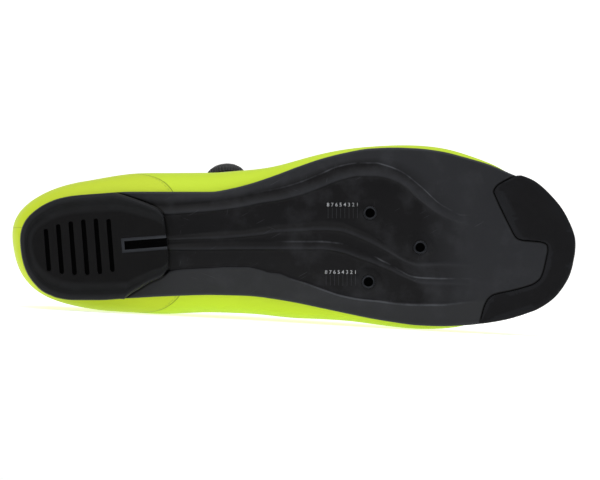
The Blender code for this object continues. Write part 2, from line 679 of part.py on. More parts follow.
def bumper_rows(grow, out_by, down_by):
    """Sections of the toe bumper; grown, they cut its bed into the plate."""
    rows = []
    table = [BUMPER_SEAM[0]]
    for row in BUMPER_SEAM[1:]:
        if row[0] - table[-1][0] > BUMPER_STEP:
            table.append(tuple((a + b) / 2 for a, b in zip(table[-1], row)))
        table.append(row)
    seams = [Vector((SOLE_LENGTH * row[1], BALL_WIDTH * row[2], 0)) for row in table]
    ways = []
    for i in range(len(seams)):
        along = seams[min(i + 1, len(seams) - 1)] - seams[max(i - 1, 0)]
        ways.append(Vector((-along.y, along.x, 0)).normalized())
    stops = [(row[0], seam + grow * way, row[3]) for row, seam, way in zip(table, seams, ways)]
    if grow:
        for end, sign in ((0, -1), (-1, 1)):
            angle, seam, wrap = stops[end]
            step = sign * 2 * grow / (SOLE_LENGTH / 2 * abs(math.sin(angle)))
            moved = seam + rim_of_sole(angle + step)[0] - rim_of_sole(angle)[0]
            stops.insert(0 if sign < 0 else len(stops), (angle + step, moved, wrap))
    for angle, seam, wrap in stops:
        spot, out = rim_of_sole(angle)
        section = upper_section(angle)
        top = section[0].z + BUMPER_WRAP * wrap
        pick = [at_height(section, section[0].z + (top - section[0].z) * j / 3) for j in range(4)]
        inner, outer = [], []
        for j, p in enumerate(pick):
            step = pick[min(j + 1, 3)] - pick[max(j - 1, 0)]
            lean = Vector((out * step.z - Vector((0, 0, step.dot(out))))).normalized()
            if lean.dot(out) < 0:
                lean = -lean
            inner.append(p + (2.2 * GAP - grow) * lean)
            outer.append(p + (2.2 * GAP + BUMPER_WALL + out_by) * lean)
        base = []
        foot = spot - BUMPER_LIP * out + out_by * out
        for t in (0.0, 0.5, 1.0):
            p = seam.lerp(foot, t)
            base.append(Vector((p.x, p.y, underside(p.x, p.y) - down_by)))
        corner = outer[0].copy()
        corner.z = underside(spot.x, spot.y) + BUMPER_LIP - down_by
        bed = inner[0].copy()
        bed.z = underside(bed.x, bed.y) + BUMPER_BASE + grow
        back = []
        for t in (0.0, 0.5):
            p = seam.lerp(Vector((bed.x, bed.y, 0)), t)
            back.append(Vector((p.x, p.y, underside(p.x, p.y) + BUMPER_BASE + grow)))
        rows.append(
            [tuple(p) for p in base + [corner] + outer + inner[::-1] + [bed] + back[::-1]]
        )
    return rows


def solid_between(name, rows, finish):
    points, faces = loft(rows, closed_ends=True)
    count = len(rows[0])
    faces += [list(range(count))[::-1], list(range(len(points) - count, len(points)))]
    return piece(name, points, faces, finish)


def make_insole():
    rows_low, rows_high = [], []
    across = (0.0, 0.22, 0.5, 0.78, 1.0)
    edge = []
    for i in range(2 * HALF):
        spot, out = rim_of_sole(math.pi * i / HALF)
        foot = SECTIONS[i][0]
        inset = (spot - Vector((foot.x, foot.y, 0))).length + UPPER_WALL + INSOLE_CLEARANCE
        edge.append(spot - inset * out)
    for i in range(HALF + 1):
        a = edge[i]
        b = edge[(2 * HALF - i) % (2 * HALF)]
        spread = (0.5,) if i in (0, HALF) else across
        low, high = [], []
        for t in spread:
            p = a.lerp(b, t)
            z = underside(p.x, p.y) + PLATE_WALL + GAP
            side = 0.0 if t in (0.0, 1.0) or len(spread) == 1 else 1.0
            low.append((p.x, p.y, z))
            high.append((p.x, p.y, z + INSOLE_WALL * (0.75 + 0.25 * side)))
        rows_low.append(low)
        rows_high.append(high)
    points, faces = loft(rows_low)
    more, top_faces = loft(rows_high)
    shift = len(points)
    faces += [[shift + v for v in face] for face in top_faces]
    points += more
    faces += side_walls(rows_low, rows_high, shift)
    return piece("insole", points, faces, FOAM)


def tree_of(obj):
    bpy.context.view_layer.update()
    return BVHTree.FromObject(obj, bpy.context.evaluated_depsgraph_get())


def make_tongue(upper):
    tree = tree_of(upper)
    tip = SOLE_LENGTH * TONGUE_TIP_X
    front = SOLE_LENGTH * rim_x(1.0) + TONGUE_TUCK
    throat = [(rim_x(s / 200), rim_z(s / 200)) for s in range(76, 201)]
    line = curve([(x, z) for x, z in throat if x > 0.36], by_angle=False)
    width = curve(TONGUE_LINE, by_angle=False)
    peak = SOLE_LENGTH * 0.388
    low, high = [], []
    steps, sides = 20, 8
    for i in range(steps + 1):
        t = i / steps
        x = tip + (front - tip) * t
        middle = BALL_WIDTH * rim_centre(0.5)
        reach = TONGUE_WIDTH / 2 * width(t)
        if x < peak:
            lift = INSTEP_HEIGHT * line(peak / SOLE_LENGTH)
            lift += TONGUE_RISE * (peak - x) / (peak - tip) - TONGUE_CLEARANCE
        else:
            lift = INSTEP_HEIGHT * line(min(x / SOLE_LENGTH, rim_x(1.0))) - TONGUE_CLEARANCE
            lift -= max(0.0, x - SOLE_LENGTH * rim_x(1.0)) * 0.3
        row = []
        for j in range(sides + 1):
            across = -1 + 2 * j / sides
            y = middle + reach * across
            z = lift - TONGUE_DROP * across * across
            for dx in (-3 * MM, 0, 3 * MM):
                for dy in (-2 * MM, 0, 2 * MM):
                    start = Vector((x + dx, y + dy, INSTEP_HEIGHT * 0.42))
                    hit = tree.ray_cast(start, Vector((0, 0, 1)))[0]
                    if hit is not None:
                        z = min(z, hit.z - 1.8 * TONGUE_CLEARANCE)
            row.append(Vector((x, y, z)))
        high.append([tuple(p) for p in row])
        low.append([(p.x, p.y, p.z - TONGUE_WALL) for p in row])
    rows = [a + b[::-1] for a, b in zip(high, low)]
    return solid_between("tongue", rows, LINING)


def seated(name, tree, spot, normal, along, rows_of, height, finish):
    """A solid that stands on the upper: a grid of footprint points laid on it, and a flat top."""
    normal = normal.normalized()
    u = (along - along.dot(normal) * normal).normalized()
    v = normal.cross(u)
    low, high = [], []
    for row in rows_of:
        a, b = [], []
        for x, y, rise in row:
            start = spot + x * u + y * v + 12 * MM * normal
            hit = tree.ray_cast(start, -normal)[0]
            base = hit if hit is not None else start - 12 * MM * normal
            a.append(tuple(base + 1.2 * GAP * normal))
            b.append(tuple(spot + x * u + y * v + (height * rise) * normal))
        low.append(a)
        high.append(b)
    return low, high, u, v


def make_dial(upper):
    tree = tree_of(upper)
    step = math.acos(1 - 2 * DIAL_PLACE[0]) / math.pi * HALF
    i = int(step)
    k = 3 + DIAL_PLACE[1] * (len(WALL_STEPS) - 1)
    j = int(k)
    spot = SECTIONS[i][j].lerp(SECTIONS[i][j + 1], k - j).lerp(
        SECTIONS[i + 1][j].lerp(SECTIONS[i + 1][j + 1], k - j), step - i)
    normal = NORMALS[i][j].lerp(NORMALS[i][j + 1], k - j).normalized()
    radius = DIAL_BASE_DIAMETER / 2
    rings = []
    for r in (0.0, 0.4, 0.75, 1.0):
        count = 1 if r == 0 else ROUND
        rings.append([
            (r * radius * math.cos(2 * math.pi * a / ROUND),
             r * radius * math.sin(2 * math.pi * a / ROUND), 1.0)
            for a in range(count)
        ])
    low, _, u, v = seated(
        "dial_base", tree, spot, normal, Vector((1, 0, 0)), rings, DIAL_BASE_HEIGHT, PLASTIC)
    seat = max(Vector(p).dot(normal) for ring in low for p in ring)
    centre = spot + (seat - spot.dot(normal)) * normal

    def ring_at(r, h, teeth=0.0, count=ROUND):
        made = []
        for a in range(count):
            reach = r - (teeth if a % 2 else 0)
            angle = 2 * math.pi * a / count
            made.append(tuple(
                centre + reach * math.cos(angle) * u + reach * math.sin(angle) * v + h * normal))
        return made

    top = DIAL_BASE_HEIGHT
    rows = low + [ring_at(radius, 0.55 * top), ring_at(radius * 0.94, top), ring_at(radius * 0.5, top)]
    points, faces = loft(rows, closed_ends=True)
    faces.append(list(range(len(points) - ROUND, len(points))))
    base = piece("dial_base", points, faces, PLASTIC)
    count = 2 * KNOB_TEETH
    r, low_h = KNOB_DIAMETER / 2, top + GAP
    rows = [
        [tuple(centre + low_h * normal)],
        ring_at(r * 0.92, low_h, 0, count), ring_at(r, low_h + 0.12 * KNOB_HEIGHT, KNOB_TOOTH, count),
        ring_at(r * 0.95, low_h + 0.62 * KNOB_HEIGHT, KNOB_TOOTH, count),
        ring_at(r * 0.78, low_h + KNOB_HEIGHT, 0, count),
        [tuple(centre + (low_h + KNOB_HEIGHT) * normal)],
    ]
    points, faces = loft(rows, closed_ends=True)
    piece("dial_knob", points, faces, PLASTIC)
    return base, centre, normal, u, v


def make_laces(upper, dial):
    base, centre, normal, u, v = dial
    tree = tree_of(upper)
    half = GUIDE_LENGTH / 2 / SOLE_LENGTH
    path = []

    def add(share, side, from_rim, lift=LACE_LIFT):
        spot, n = on_upper(share, side, from_rim)
        path.append(spot + lift * n)
        return path[-1]

    start_share = GUIDES[0][2] - half * 1.3
    rim_spot, rim_n = on_upper(start_share - 0.012, -1, 0.0)
    reach = DIAL_BASE_DIAMETER / 2
    toward = (rim_spot + LACE_LIFT * rim_n - centre)
    toward = (toward - toward.dot(normal) * normal).normalized()
    begin = centre + (reach + 1.5 * GAP) * toward + 0.45 * DIAL_BASE_HEIGHT * normal
    path.append(begin)
    goal = rim_spot + LACE_LIFT * rim_n
    for t in (0.33, 0.66):
        p = begin.lerp(goal, t)
        near, n, _, _ = tree.find_nearest(p)
        side = (p - near).dot(n)
        path.append(p if side > LACE_LIFT * 0.8 else near + LACE_LIFT * n)
    path.append(goal)
    for name, side, share in GUIDES:
        add(share - half * 1.3, side, 0.0)
        add(share - half * 0.66, side, GUIDE_SETBACK * 0.85)
        add(share, side, GUIDE_SETBACK)
        add(share + half * 0.66, side, GUIDE_SETBACK * 0.85)
        add(share + half * 1.3, side, 0.0)
    add(ANCHOR[2] - half * 0.7, ANCHOR[1], 0.0)
    add(ANCHOR[2] - half * 0.45, ANCHOR[1], GUIDE_SETBACK * 0.5)
    add(ANCHOR[2], ANCHOR[1], GUIDE_SETBACK * 0.9)
    smooth = []
    for i in range(len(path) - 1):
        a, b = path[max(i - 1, 0)], path[i]
        c, d = path[i + 1], path[min(i + 2, len(path) - 1)]
        count = 2 if (c - b).length < 9 * MM else 4
        for k in range(count):
            t = k / count
            straight = b.lerp(c, t)
            bend = 0.5 * ((2 * b) + (c - a) * t + (2 * a - 5 * b + 4 * c - d) * t * t
                          + (3 * b - a - 3 * c + d) * t**3)
            smooth.append(bend if count == 2 else straight)
    smooth.append(path[-1])
    tube("lace", smooth, LACE_DIAMETER / 2, 6, CORD)
    for name, side, share in GUIDES + (ANCHOR,):
        spot, n = on_upper(share, side, GUIDE_SETBACK)
        ahead = on_upper(share + 0.01, side, GUIDE_SETBACK)[0] - spot
        rows = []
        for p in (-1.0, -0.9, 0.0, 0.9, 1.0):
            trim = 0.8 if abs(p) == 1.0 else 1.0
            rows.append([
                (p * GUIDE_LENGTH / 2, q * GUIDE_WIDTH / 2 * trim, 1.0)
                for q in (-1.0, -0.4, 0.4, 1.0)
            ])
        low, high, _, _ = seated(name, tree, spot, n, ahead, rows, GUIDE_HEIGHT, PLASTIC)
        sections = [a + b[::-1] for a, b in zip(low, high)]
        label = name if name.startswith("lace") else "guide_" + name
        block = solid_between(label, sections, PLASTIC)
        near = [p for p in smooth if (p - spot).length < 1.2 * GUIDE_LENGTH]
        channel = tube("channel", near, LACE_DIAMETER / 2 + 1.5 * GAP, 8, PLASTIC)
        combine(block, channel, "DIFFERENCE")


def make_bolts(outsole):
    seats = {}
    for name, (share, place) in BOLTS.items():
        x, y = SOLE_LENGTH * share, BALL_WIDTH * place
        spots = [(x, y)] + disc((x, y), SEAT_DIAMETER / 2, 12)
        face = min(underside(px, py) for px, py in spots) - SEAT_PROUD
        roof = min(underside(px, py) for px, py in spots) + PLATE_WALL * 0.8
        boss = prism("boss", disc((x, y), SEAT_DIAMETER / 2, BOLT_SIDES), face, roof, PLATE_FINISH)
        combine(outsole, boss, "UNION")
        bore = prism("bore", disc((x, y), INSERT_DIAMETER / 2 + GAP, BOLT_SIDES), face - 1 * MM,
                     roof + CUT_PAST, PLATE_FINISH)
        combine(outsole, bore, "DIFFERENCE")
        high = underside(x, y) + PLATE_WALL - 0.1 * MM
        rows = []
        for r, z in ((INSERT_DIAMETER / 2, face), (INSERT_DIAMETER / 2, high),
                     (BOLT_BORE / 2, high), (BOLT_BORE / 2, face)):
            rows.append([(px, py, z) for px, py in disc((x, y), r, BOLT_SIDES)])
        points, faces = loft(rows, closed_rows=True, closed_ends=True)
        piece("cleat_insert_" + name, points, faces, STEEL)
        seats[name] = (x, y, face)
    return seats


def rest_turn(objects):
    """The turn that lays the shoe on its inner side, on a face that it can rest on."""
    points, volume, moment = [], 0.0, Vector((0, 0, 0))
    for obj in objects:
        mesh = obj.data
        mesh.calc_loop_triangles()
        spots = [v.co.copy() for v in mesh.vertices]
        points += spots
        for tri in mesh.loop_triangles:
            a, b, c = (spots[k] for k in tri.vertices)
            part = a.dot(b.cross(c)) / 6
            volume += part
            moment += part * (a + b + c) / 4
    middle = moment / volume
    hull = bmesh.new()
    for p in points:
        hull.verts.new(p)
    bmesh.ops.convex_hull(hull, input=hull.verts)
    best, floor = -1.0, None
    for face in hull.faces:
        n = face.normal.normalized()
        if n.y <= best or face.calc_area() < 1e-7:
            continue
        foot = middle - (middle - face.verts[0].co).dot(n) * n
        ring = [v.co for v in face.verts]
        inside = all(
            (b - a).cross(foot - a).dot(n) >= 0 for a, b in zip(ring, ring[1:] + ring[:1])
        )
        if inside:
            best, floor = n.y, n.copy()
    hull.free()
    turned = Matrix.Rotation(-math.pi / 2, 3, "X")
    down = turned @ floor
    settle = down.rotation_difference(Vector((0, 0, -1))).to_matrix()
    return settle @ turned


outsole = make_outsole()
bed = solid_between("bed", bumper_rows(GAP, CUT_PAST, CUT_PAST), RUBBER)
combine(outsole, bed, "DIFFERENCE")
solid_between("toe_bumper", bumper_rows(0.0, 0.0, 0.0), RUBBER)
seats = make_bolts(outsole)
make_pad()
upper = make_upper()
make_insole()
make_tongue(upper)
dial = make_dial(upper)
make_laces(upper, dial)

pieces = [o for o in SHOE.children if o.type == "MESH" and not o.hide_render]
turn = rest_turn(pieces)
corners = np.array([turn @ v.co for o in pieces for v in o.data.vertices])
low, high = corners.min(axis=0), corners.max(axis=0)
shift = Vector((-(low[0] + high[0]) / 2, -(low[1] + high[1]) / 2, -low[2]))
SHOE.matrix_world = Matrix.Translation(shift) @ turn.to_4x4()
bpy.context.view_layer.update()
for name, (x, y, z) in seats.items():
    ring = SHOE.matrix_world @ Vector((x - (INSERT_DIAMETER + SEAT_DIAMETER) / 4, y, z))
    way = turn @ Vector((0, 0, -1))
    print("seat", name, [round(c, 6) for c in ring], [round(c, 6) for c in way])
print("turn", [[round(c, 6) for c in row] for row in SHOE.matrix_world])
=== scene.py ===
# %% [markdown]
# # A road cycling shoe for the right foot, lying on its side
# The shoe lies on its inner side with the sole towards us. This lesson dresses its plain
# solids: a composite sole with ribs, a rubber heel pad and toe bumper, a bright microfibre
# upper, and the small parts that close it.

# %% Load the solids
import json
import math
from contextlib import contextmanager
import bmesh
import bpy
import numpy as np
from mathutils import Matrix, Vector
from mathutils.bvhtree import BVHTree

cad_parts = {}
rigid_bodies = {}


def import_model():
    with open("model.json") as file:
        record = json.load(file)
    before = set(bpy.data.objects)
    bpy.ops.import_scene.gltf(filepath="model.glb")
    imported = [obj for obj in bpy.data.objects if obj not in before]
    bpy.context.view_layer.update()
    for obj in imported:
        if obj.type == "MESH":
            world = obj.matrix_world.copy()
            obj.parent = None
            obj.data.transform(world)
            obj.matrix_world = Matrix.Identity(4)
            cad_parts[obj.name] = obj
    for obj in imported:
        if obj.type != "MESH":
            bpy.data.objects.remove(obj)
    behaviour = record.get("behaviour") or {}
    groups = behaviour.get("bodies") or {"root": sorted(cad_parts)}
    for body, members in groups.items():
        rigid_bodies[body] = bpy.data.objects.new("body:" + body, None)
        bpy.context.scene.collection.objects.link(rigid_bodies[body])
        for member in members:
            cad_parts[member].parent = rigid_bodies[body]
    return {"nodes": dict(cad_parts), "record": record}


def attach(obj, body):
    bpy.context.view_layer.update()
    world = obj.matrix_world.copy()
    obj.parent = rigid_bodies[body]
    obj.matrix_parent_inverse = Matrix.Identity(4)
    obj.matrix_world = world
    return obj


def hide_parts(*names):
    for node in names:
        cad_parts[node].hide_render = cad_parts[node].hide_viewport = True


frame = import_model()
bpy.ops.object.select_all(action="DESELECT")
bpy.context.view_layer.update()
NODES = frame["nodes"]
MM = 0.001

# %% [markdown]
# ## The shoe's own frame
# A shoe is easiest to draw standing up: X from heel to toe, +Y to the inner side of the foot,
# +Z up from the ground. The three bolt seats tell how the standing shoe was laid down, so the
# turn is worked out from them. Every piece is drawn standing and then laid down in its mesh.

# %% Find the turn from the bolt seats
SOLE_LENGTH, BALL_WIDTH = 288.6 * MM, 93.0 * MM
seats = {mount["name"]: mount for mount in frame["record"]["mounts"]}
up = -Vector(seats["cleat_seat_outer"]["axis"]).normalized()
outer_seat = Vector(seats["cleat_seat_outer"]["pos_m"])
inner_seat = Vector(seats["cleat_seat_inner"]["pos_m"])
across = inner_seat - outer_seat
across -= across.dot(up) * up
step_x, step_y = -0.003 * SOLE_LENGTH, 0.3846 * BALL_WIDTH
toward_toe = (step_x * across + step_y * across.cross(up)).normalized()
inward = up.cross(toward_toe)
ground = min(v.co.dot(up) for v in NODES["heel_pad"].data.vertices)
heel = outer_seat - (0.631 * SOLE_LENGTH - 4.95 * MM) * toward_toe + 0.1756 * BALL_WIDTH * inward
heel += (ground - heel.dot(up)) * up
LAID = Matrix.Identity(4)
for axis, way in enumerate((toward_toe, inward, up, heel)):
    for row in range(3):
        LAID[row][axis] = way[row]
STANDING = LAID.inverted()
print("laid", [[round(v, 5) for v in row] for row in LAID])

# %% [markdown]
# ## The camera, the floor and the light
# A catalogue picture of a sole is taken square on from far away with a long lens. The floor is
# a pale sheet that curves up far behind the shoe on every side, so no horizon shows. Two big
# soft lights, the roof and the front of a light tent, draw the ribs. The sheet glows near the
# shoe and behind it as a light table does, and the pale surroundings fill the rest.

# %% Camera square on to the sole
VIEW_CENTRE, DISTANCE, FIELD = (145.7 * MM, -2.3 * MM), 2.0, 311.4 * MM
camera = bpy.data.objects.new("camera", bpy.data.cameras.new("camera"))
bpy.context.collection.objects.link(camera)
camera.data.sensor_width = 36
camera.data.lens = 36 * DISTANCE / FIELD
camera.data.clip_end = 60
facing = Matrix(
    ((1, 0, 0, VIEW_CENTRE[0]), (0, -1, 0, VIEW_CENTRE[1]), (0, 0, -1, -DISTANCE), (0, 0, 0, 1))
)
camera.matrix_world = LAID @ facing
bpy.context.scene.camera = camera
bpy.context.scene.view_settings.view_transform = "Standard"
print("camera at", [round(v, 3) for v in camera.matrix_world.translation])

# %% A pale floor that curves up far away
FLOOR_REACH, COVE = 6.0, 3.0
bpy.ops.mesh.primitive_circle_add(vertices=96, radius=FLOOR_REACH, fill_type="NGON")
floor = bpy.context.object
floor.name = "floor"
bpy.ops.object.mode_set(mode="EDIT")
bpy.ops.mesh.select_mode(type="EDGE")
bpy.ops.mesh.select_all(action="SELECT")
for bend in range(10):
    low, high = math.radians(9 * bend), math.radians(9 * (bend + 1))
    rise = COVE * (math.cos(low) - math.cos(high))
    widen = (FLOOR_REACH + COVE * math.sin(high)) / (FLOOR_REACH + COVE * math.sin(low))
    bpy.ops.mesh.extrude_edges_move(TRANSFORM_OT_translate={"value": (0, 0, rise)})
    bpy.ops.transform.resize(value=(widen, widen, 1), center_override=(0, 0, 0))
bpy.ops.mesh.select_all(action="SELECT")
bpy.ops.mesh.normals_make_consistent(inside=True)
bpy.ops.object.mode_set(mode="OBJECT")
bpy.ops.object.shade_smooth()
bpy.ops.object.select_all(action="DESELECT")
print("floor faces", len(floor.data.polygons), "top", max(v.co.z for v in floor.data.vertices))

# %% Two soft lights and pale surroundings
def soft_light(name, place, target, size, power):
    lamp = bpy.data.lights.new(name, "AREA")
    lamp.shape, lamp.size, lamp.size_y = "RECTANGLE", *size
    lamp.energy = power
    made = bpy.data.objects.new(name, lamp)
    bpy.context.collection.objects.link(made)
    made.location = place
    made.rotation_euler = (Vector(target) - Vector(place)).to_track_quat("-Z", "Y").to_euler()
    print(name, power, "W")


soft_light("tent_roof", (0.0, -0.1, 1.3), (0, 0, 0.05), (1.6, 0.9), 8)
soft_light("tent_front", (0.0, -1.5, 1.2), (0, 0, 0.05), (2.2, 0.6), 10)
bpy.context.scene.world = bpy.data.worlds.new("pale_room")
bpy.context.scene.world.use_nodes = True
surroundings = bpy.context.scene.world.node_tree.nodes["Background"].inputs
surroundings["Color"].default_value = (1, 1, 1, 1)
surroundings["Strength"].default_value = 0.5


# %% [markdown]
# ## Tools for the bench
# A few helpers that every piece uses: a copy of a solid with its loose triangles joined back
# into quads, a modifier that is applied at once, and the last step that lays a standing piece
# down and says which solid it stands for. A piece notes its standing coordinates, and other
# numbers, on the points of its mesh, so that a finish can follow the shoe.

# %% Copy, shape and lay down
def select_only(piece):
    bpy.ops.object.select_all(action="DESELECT")
    piece.select_set(True)
    bpy.context.view_layer.objects.active = piece


@contextmanager
def editing(piece, by=None, pick="SELECT"):
    """Edit mode on one piece, with all of it or none of it selected."""
    select_only(piece)
    bpy.ops.object.mode_set(mode="EDIT")
    if by:
        bpy.ops.mesh.select_mode(type=by)
    bpy.ops.mesh.select_all(action=pick)
    yield
    bpy.ops.object.mode_set(mode="OBJECT")


def standing_copy(node, name):
    piece = bpy.data.objects.new(name, NODES[node].data.copy())
    bpy.context.collection.objects.link(piece)
    piece.data.transform(STANDING)
    piece.data.materials.clear()
    with editing(piece):
        bpy.ops.mesh.remove_doubles(threshold=0.01 * MM)
        bpy.ops.mesh.tris_convert_to_quads(
            face_threshold=math.radians(80), shape_threshold=math.radians(160)
        )
    return piece


def shaped(piece, kind, **settings):
    select_only(piece)
    change = piece.modifiers.new(kind.lower(), kind)
    for key, value in settings.items():
        setattr(change, key, value)
    bpy.ops.object.modifier_apply(modifier=change.name)


def smooth(piece, degrees=35):
    select_only(piece)
    bpy.ops.object.shade_smooth_by_angle(angle=math.radians(degrees))


def coordinates(piece):
    spots = np.empty(len(piece.data.vertices) * 3)
    piece.data.vertices.foreach_get("co", spots)
    return spots.reshape(-1, 3)


def note(piece, name, values):
    """Keeps one number for every point of a mesh, for a finish to read."""
    piece.data.attributes.new(name, "FLOAT", "POINT").data.foreach_set(
        "value", np.asarray(values, np.float32))


def lay_down(piece, slot, *nodes):
    held = piece.data.attributes.new("standing", "FLOAT_VECTOR", "POINT")
    held.data.foreach_set("vector", coordinates(piece).ravel())
    piece.data.transform(LAID)
    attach(piece, "root")
    if nodes:
        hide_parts(*nodes)
    count = sum(len(f.vertices) - 2 for f in piece.data.polygons)
    print(piece.name, "stands for", nodes, "with", count, "triangles")


# %% [markdown]
# ## One helper for every finish
# A finish is a small graph of nodes round the Principled shader. One function adds a node with
# its settings and links, and reads a note of the mesh by its name. Another turns a screen
# colour into the linear colour that light needs.

# %% Nodes and colours
def linear(code):
    parts = [int(code[i:i + 2], 16) / 255 for i in (1, 3, 5)]
    return tuple(p / 12.92 if p <= 0.04045 else ((p + 0.055) / 1.055) ** 2.4 for p in parts) + (1,)


def add_node(finish, kind, inputs=None, **settings):
    """Adds a node with its settings and links. A name in quotes reads that note of the mesh."""
    made = finish.node_tree.nodes.new("ShaderNode" + kind)
    for key, value in settings.items():
        setattr(made, key, value)
    for key, value in (inputs or {}).items():
        if isinstance(value, str):
            read = add_node(finish, "Attribute", attribute_name=value)
            value = read.outputs["Vector" if made.inputs[key].type == "VECTOR" else "Fac"]
        if isinstance(value, bpy.types.Node):
            value = next(socket for socket in value.outputs if socket.enabled)
        if isinstance(value, bpy.types.NodeSocket):
            finish.node_tree.links.new(value, made.inputs[key])
        else:
            made.inputs[key].default_value = value
    return made


def new_finish(name, **sockets):
    made = bpy.data.materials.new(name)
    made.use_nodes = True
    for key, value in sockets.items():
        made.node_tree.nodes["Principled BSDF"].inputs[key.replace("_", " ")].default_value = value
    return made


def feed(finish, **sockets):
    shader = finish.node_tree.nodes["Principled BSDF"]
    for key, value in sockets.items():
        if isinstance(value, bpy.types.Node):
            value = next(socket for socket in value.outputs if socket.enabled)
        finish.node_tree.links.new(value, shader.inputs[key.replace("_", " ")])
    print("finish", finish.name, "of", len(finish.node_tree.nodes), "nodes")


pale_paper = new_finish("backlit_paper_sweep", Roughness=0.9, Emission_Strength=1.0)
paper_place = add_node(pale_paper, "TexCoord")
# Paper is never one tone: a very faint cloud, a hand across, keeps it from looking like a void.
paper_cloud = add_node(
    pale_paper, "TexNoise", {"Vector": paper_place.outputs["Object"], "Scale": 6.0}
)
paper_tone = add_node(
    pale_paper, "Mix",
    {0: paper_cloud.outputs["Fac"], 6: linear("#F4F4F3"), 7: linear("#F8F8F8")},
    data_type="RGBA",
)
# The sheet glows under the shoe and behind it, and is dark in front of it, where its mirror
# image would wash out the black sole.
paper_y = add_node(pale_paper, "SeparateXYZ", {0: paper_place.outputs["Object"]})
behind = add_node(
    pale_paper, "MapRange", {"Value": paper_y.outputs[1], "From Min": 0.2, "From Max": 2.0})
ahead = add_node(
    pale_paper, "MapRange", {"Value": paper_y.outputs[1], "From Min": -0.6, "From Max": -1.4})
near_glow = add_node(
    pale_paper, "Mix", {0: behind, 6: linear("#c0c0c0"), 7: linear("#c4c4c4")},
    data_type="RGBA")
glow = add_node(
    pale_paper, "Mix", {0: ahead, 6: near_glow.outputs[2], 7: linear("#383838")},
    data_type="RGBA")
feed(pale_paper, Base_Color=paper_tone, Emission_Color=glow)
floor.data.materials.append(pale_paper)


# %% [markdown]
# ## The outsole plate
# The real plate is fibre-filled nylon, pressed in a steel mould: stiff, a little glossy, with
# ribs that run from the heel pad and fan out under the ball of the foot. It could be drawn by
# hand on a box, but its lines are long smooth curves, so a fine grid is laid out between the
# plate's two edges with its columns along the ribs, and only then pressed to depth.

# %% The lines of the plate, as shares of its length and of the ball's width
SOLE_EDGE = (
    (0.000, 0.030, -0.030), (0.011, 0.140, 0.151), (0.025, 0.185, 0.218),
    (0.040, 0.218, 0.263), (0.054, 0.240, 0.285), (0.069, 0.257, 0.302),
    (0.097, 0.274, 0.313), (0.141, 0.285, 0.313), (0.198, 0.296, 0.302),
    (0.270, 0.296, 0.291), (0.342, 0.296, 0.285), (0.378, 0.313, 0.287),
    (0.414, 0.341, 0.291), (0.458, 0.386, 0.3075), (0.501, 0.436, 0.330),
    (0.544, 0.481, 0.358), (0.587, 0.514, 0.386), (0.631, 0.537, 0.414),
    (0.674, 0.542, 0.436), (0.717, 0.537, 0.453), (0.760, 0.520, 0.458),
    (0.804, 0.486, 0.453), (0.847, 0.447, 0.436), (0.890, 0.391, 0.403),
    (0.919, 0.358, 0.369), (0.933, 0.330, 0.352), (0.948, 0.291, 0.324),
    (0.962, 0.246, 0.291), (0.977, 0.190, 0.235), (0.991, 0.106, 0.157),
    (1.000, 0.010, -0.010),
)
SOLE_SIDE = (
    (0.00, 0.60, 0.00), (0.10, 0.60, 0.00), (0.19, 0.60, 0.05), (0.265, 0.61, 0.45),
    (0.32, 0.68, 0.90), (0.38, 0.69, 1.00), (0.45, 0.57, 0.95), (0.52, 0.37, 0.85),
    (0.59, 0.18, 0.75), (0.65, 0.06, 0.70), (0.71, 0.01, 0.65), (0.76, 0.04, 0.60),
    (0.82, 0.16, 0.50), (0.88, 0.38, 0.40), (0.94, 0.66, 0.25), (1.00, 1.00, 0.10),
)
# Each rib: the share of the length, and there the foot of its slope and its crest.
OUTER_RIB = (
    (0.270, -0.218, -0.173), (0.324, -0.229, -0.185), (0.360, -0.240, -0.196),
    (0.396, -0.257, -0.212), (0.432, -0.280, -0.235), (0.468, -0.302, -0.252),
    (0.505, -0.335, -0.280), (0.541, -0.380, -0.319), (0.577, -0.425, -0.363),
    (0.613, -0.442, -0.386), (0.641, -0.442, -0.386), (0.656, -0.431, -0.380),
    (0.685, -0.397, -0.347), (0.721, -0.313, -0.252), (0.757, -0.212, -0.173),
    (0.793, -0.150, -0.125),
)
SPINE = (
    (0.270, -0.045, -0.028), (0.324, -0.062, -0.034), (0.360, -0.073, -0.036),
    (0.396, -0.078, -0.045), (0.432, -0.095, -0.056), (0.468, -0.112, -0.073),
    (0.505, -0.123, -0.078), (0.541, -0.134, -0.084), (0.577, -0.129, -0.078),
    (0.595, -0.106, -0.062), (0.613, -0.084, -0.039), (0.631, -0.060, -0.015),
    (0.649, -0.016, 0.014), (0.667, 0.024, 0.045), (0.685, 0.063, 0.078),
    (0.703, 0.091, 0.104), (0.721, 0.102, 0.116), (0.757, 0.095, 0.112),
)
KEEL = (
    (0.270, 0.000, 0.028), (0.324, -0.011, 0.028), (0.396, -0.017, 0.025),
    (0.541, -0.017, 0.025), (0.577, -0.006, 0.039), (0.595, 0.006, 0.056),
    (0.613, 0.028, 0.078), (0.631, 0.050, 0.096), (0.649, 0.084, 0.118),
    (0.667, 0.112, 0.140), (0.685, 0.145, 0.168), (0.703, 0.175, 0.192),
    (0.721, 0.185, 0.212), (0.757, 0.190, 0.218),
)
INNER_RAIL = (
    (0.262, 0.157), (0.270, 0.143), (0.306, 0.131), (0.342, 0.126), (0.378, 0.120),
    (0.405, 0.120), (0.432, 0.134), (0.450, 0.151), (0.468, 0.157), (0.486, 0.179),
    (0.515, 0.207), (0.544, 0.240), (0.577, 0.274), (0.613, 0.296), (0.649, 0.307),
    (0.681, 0.321), (0.721, 0.327), (0.757, 0.327), (0.793, 0.316), (0.820, 0.305),
)
TOE_SPRING, EDGE_CAMBER, PLATE_WALL = 16.0 * MM, 4.0 * MM, 3.4 * MM
BOLTS = {"outer": (0.631, -0.1756), "inner": (0.628, 0.2090), "front": (0.721, 0.0168)}
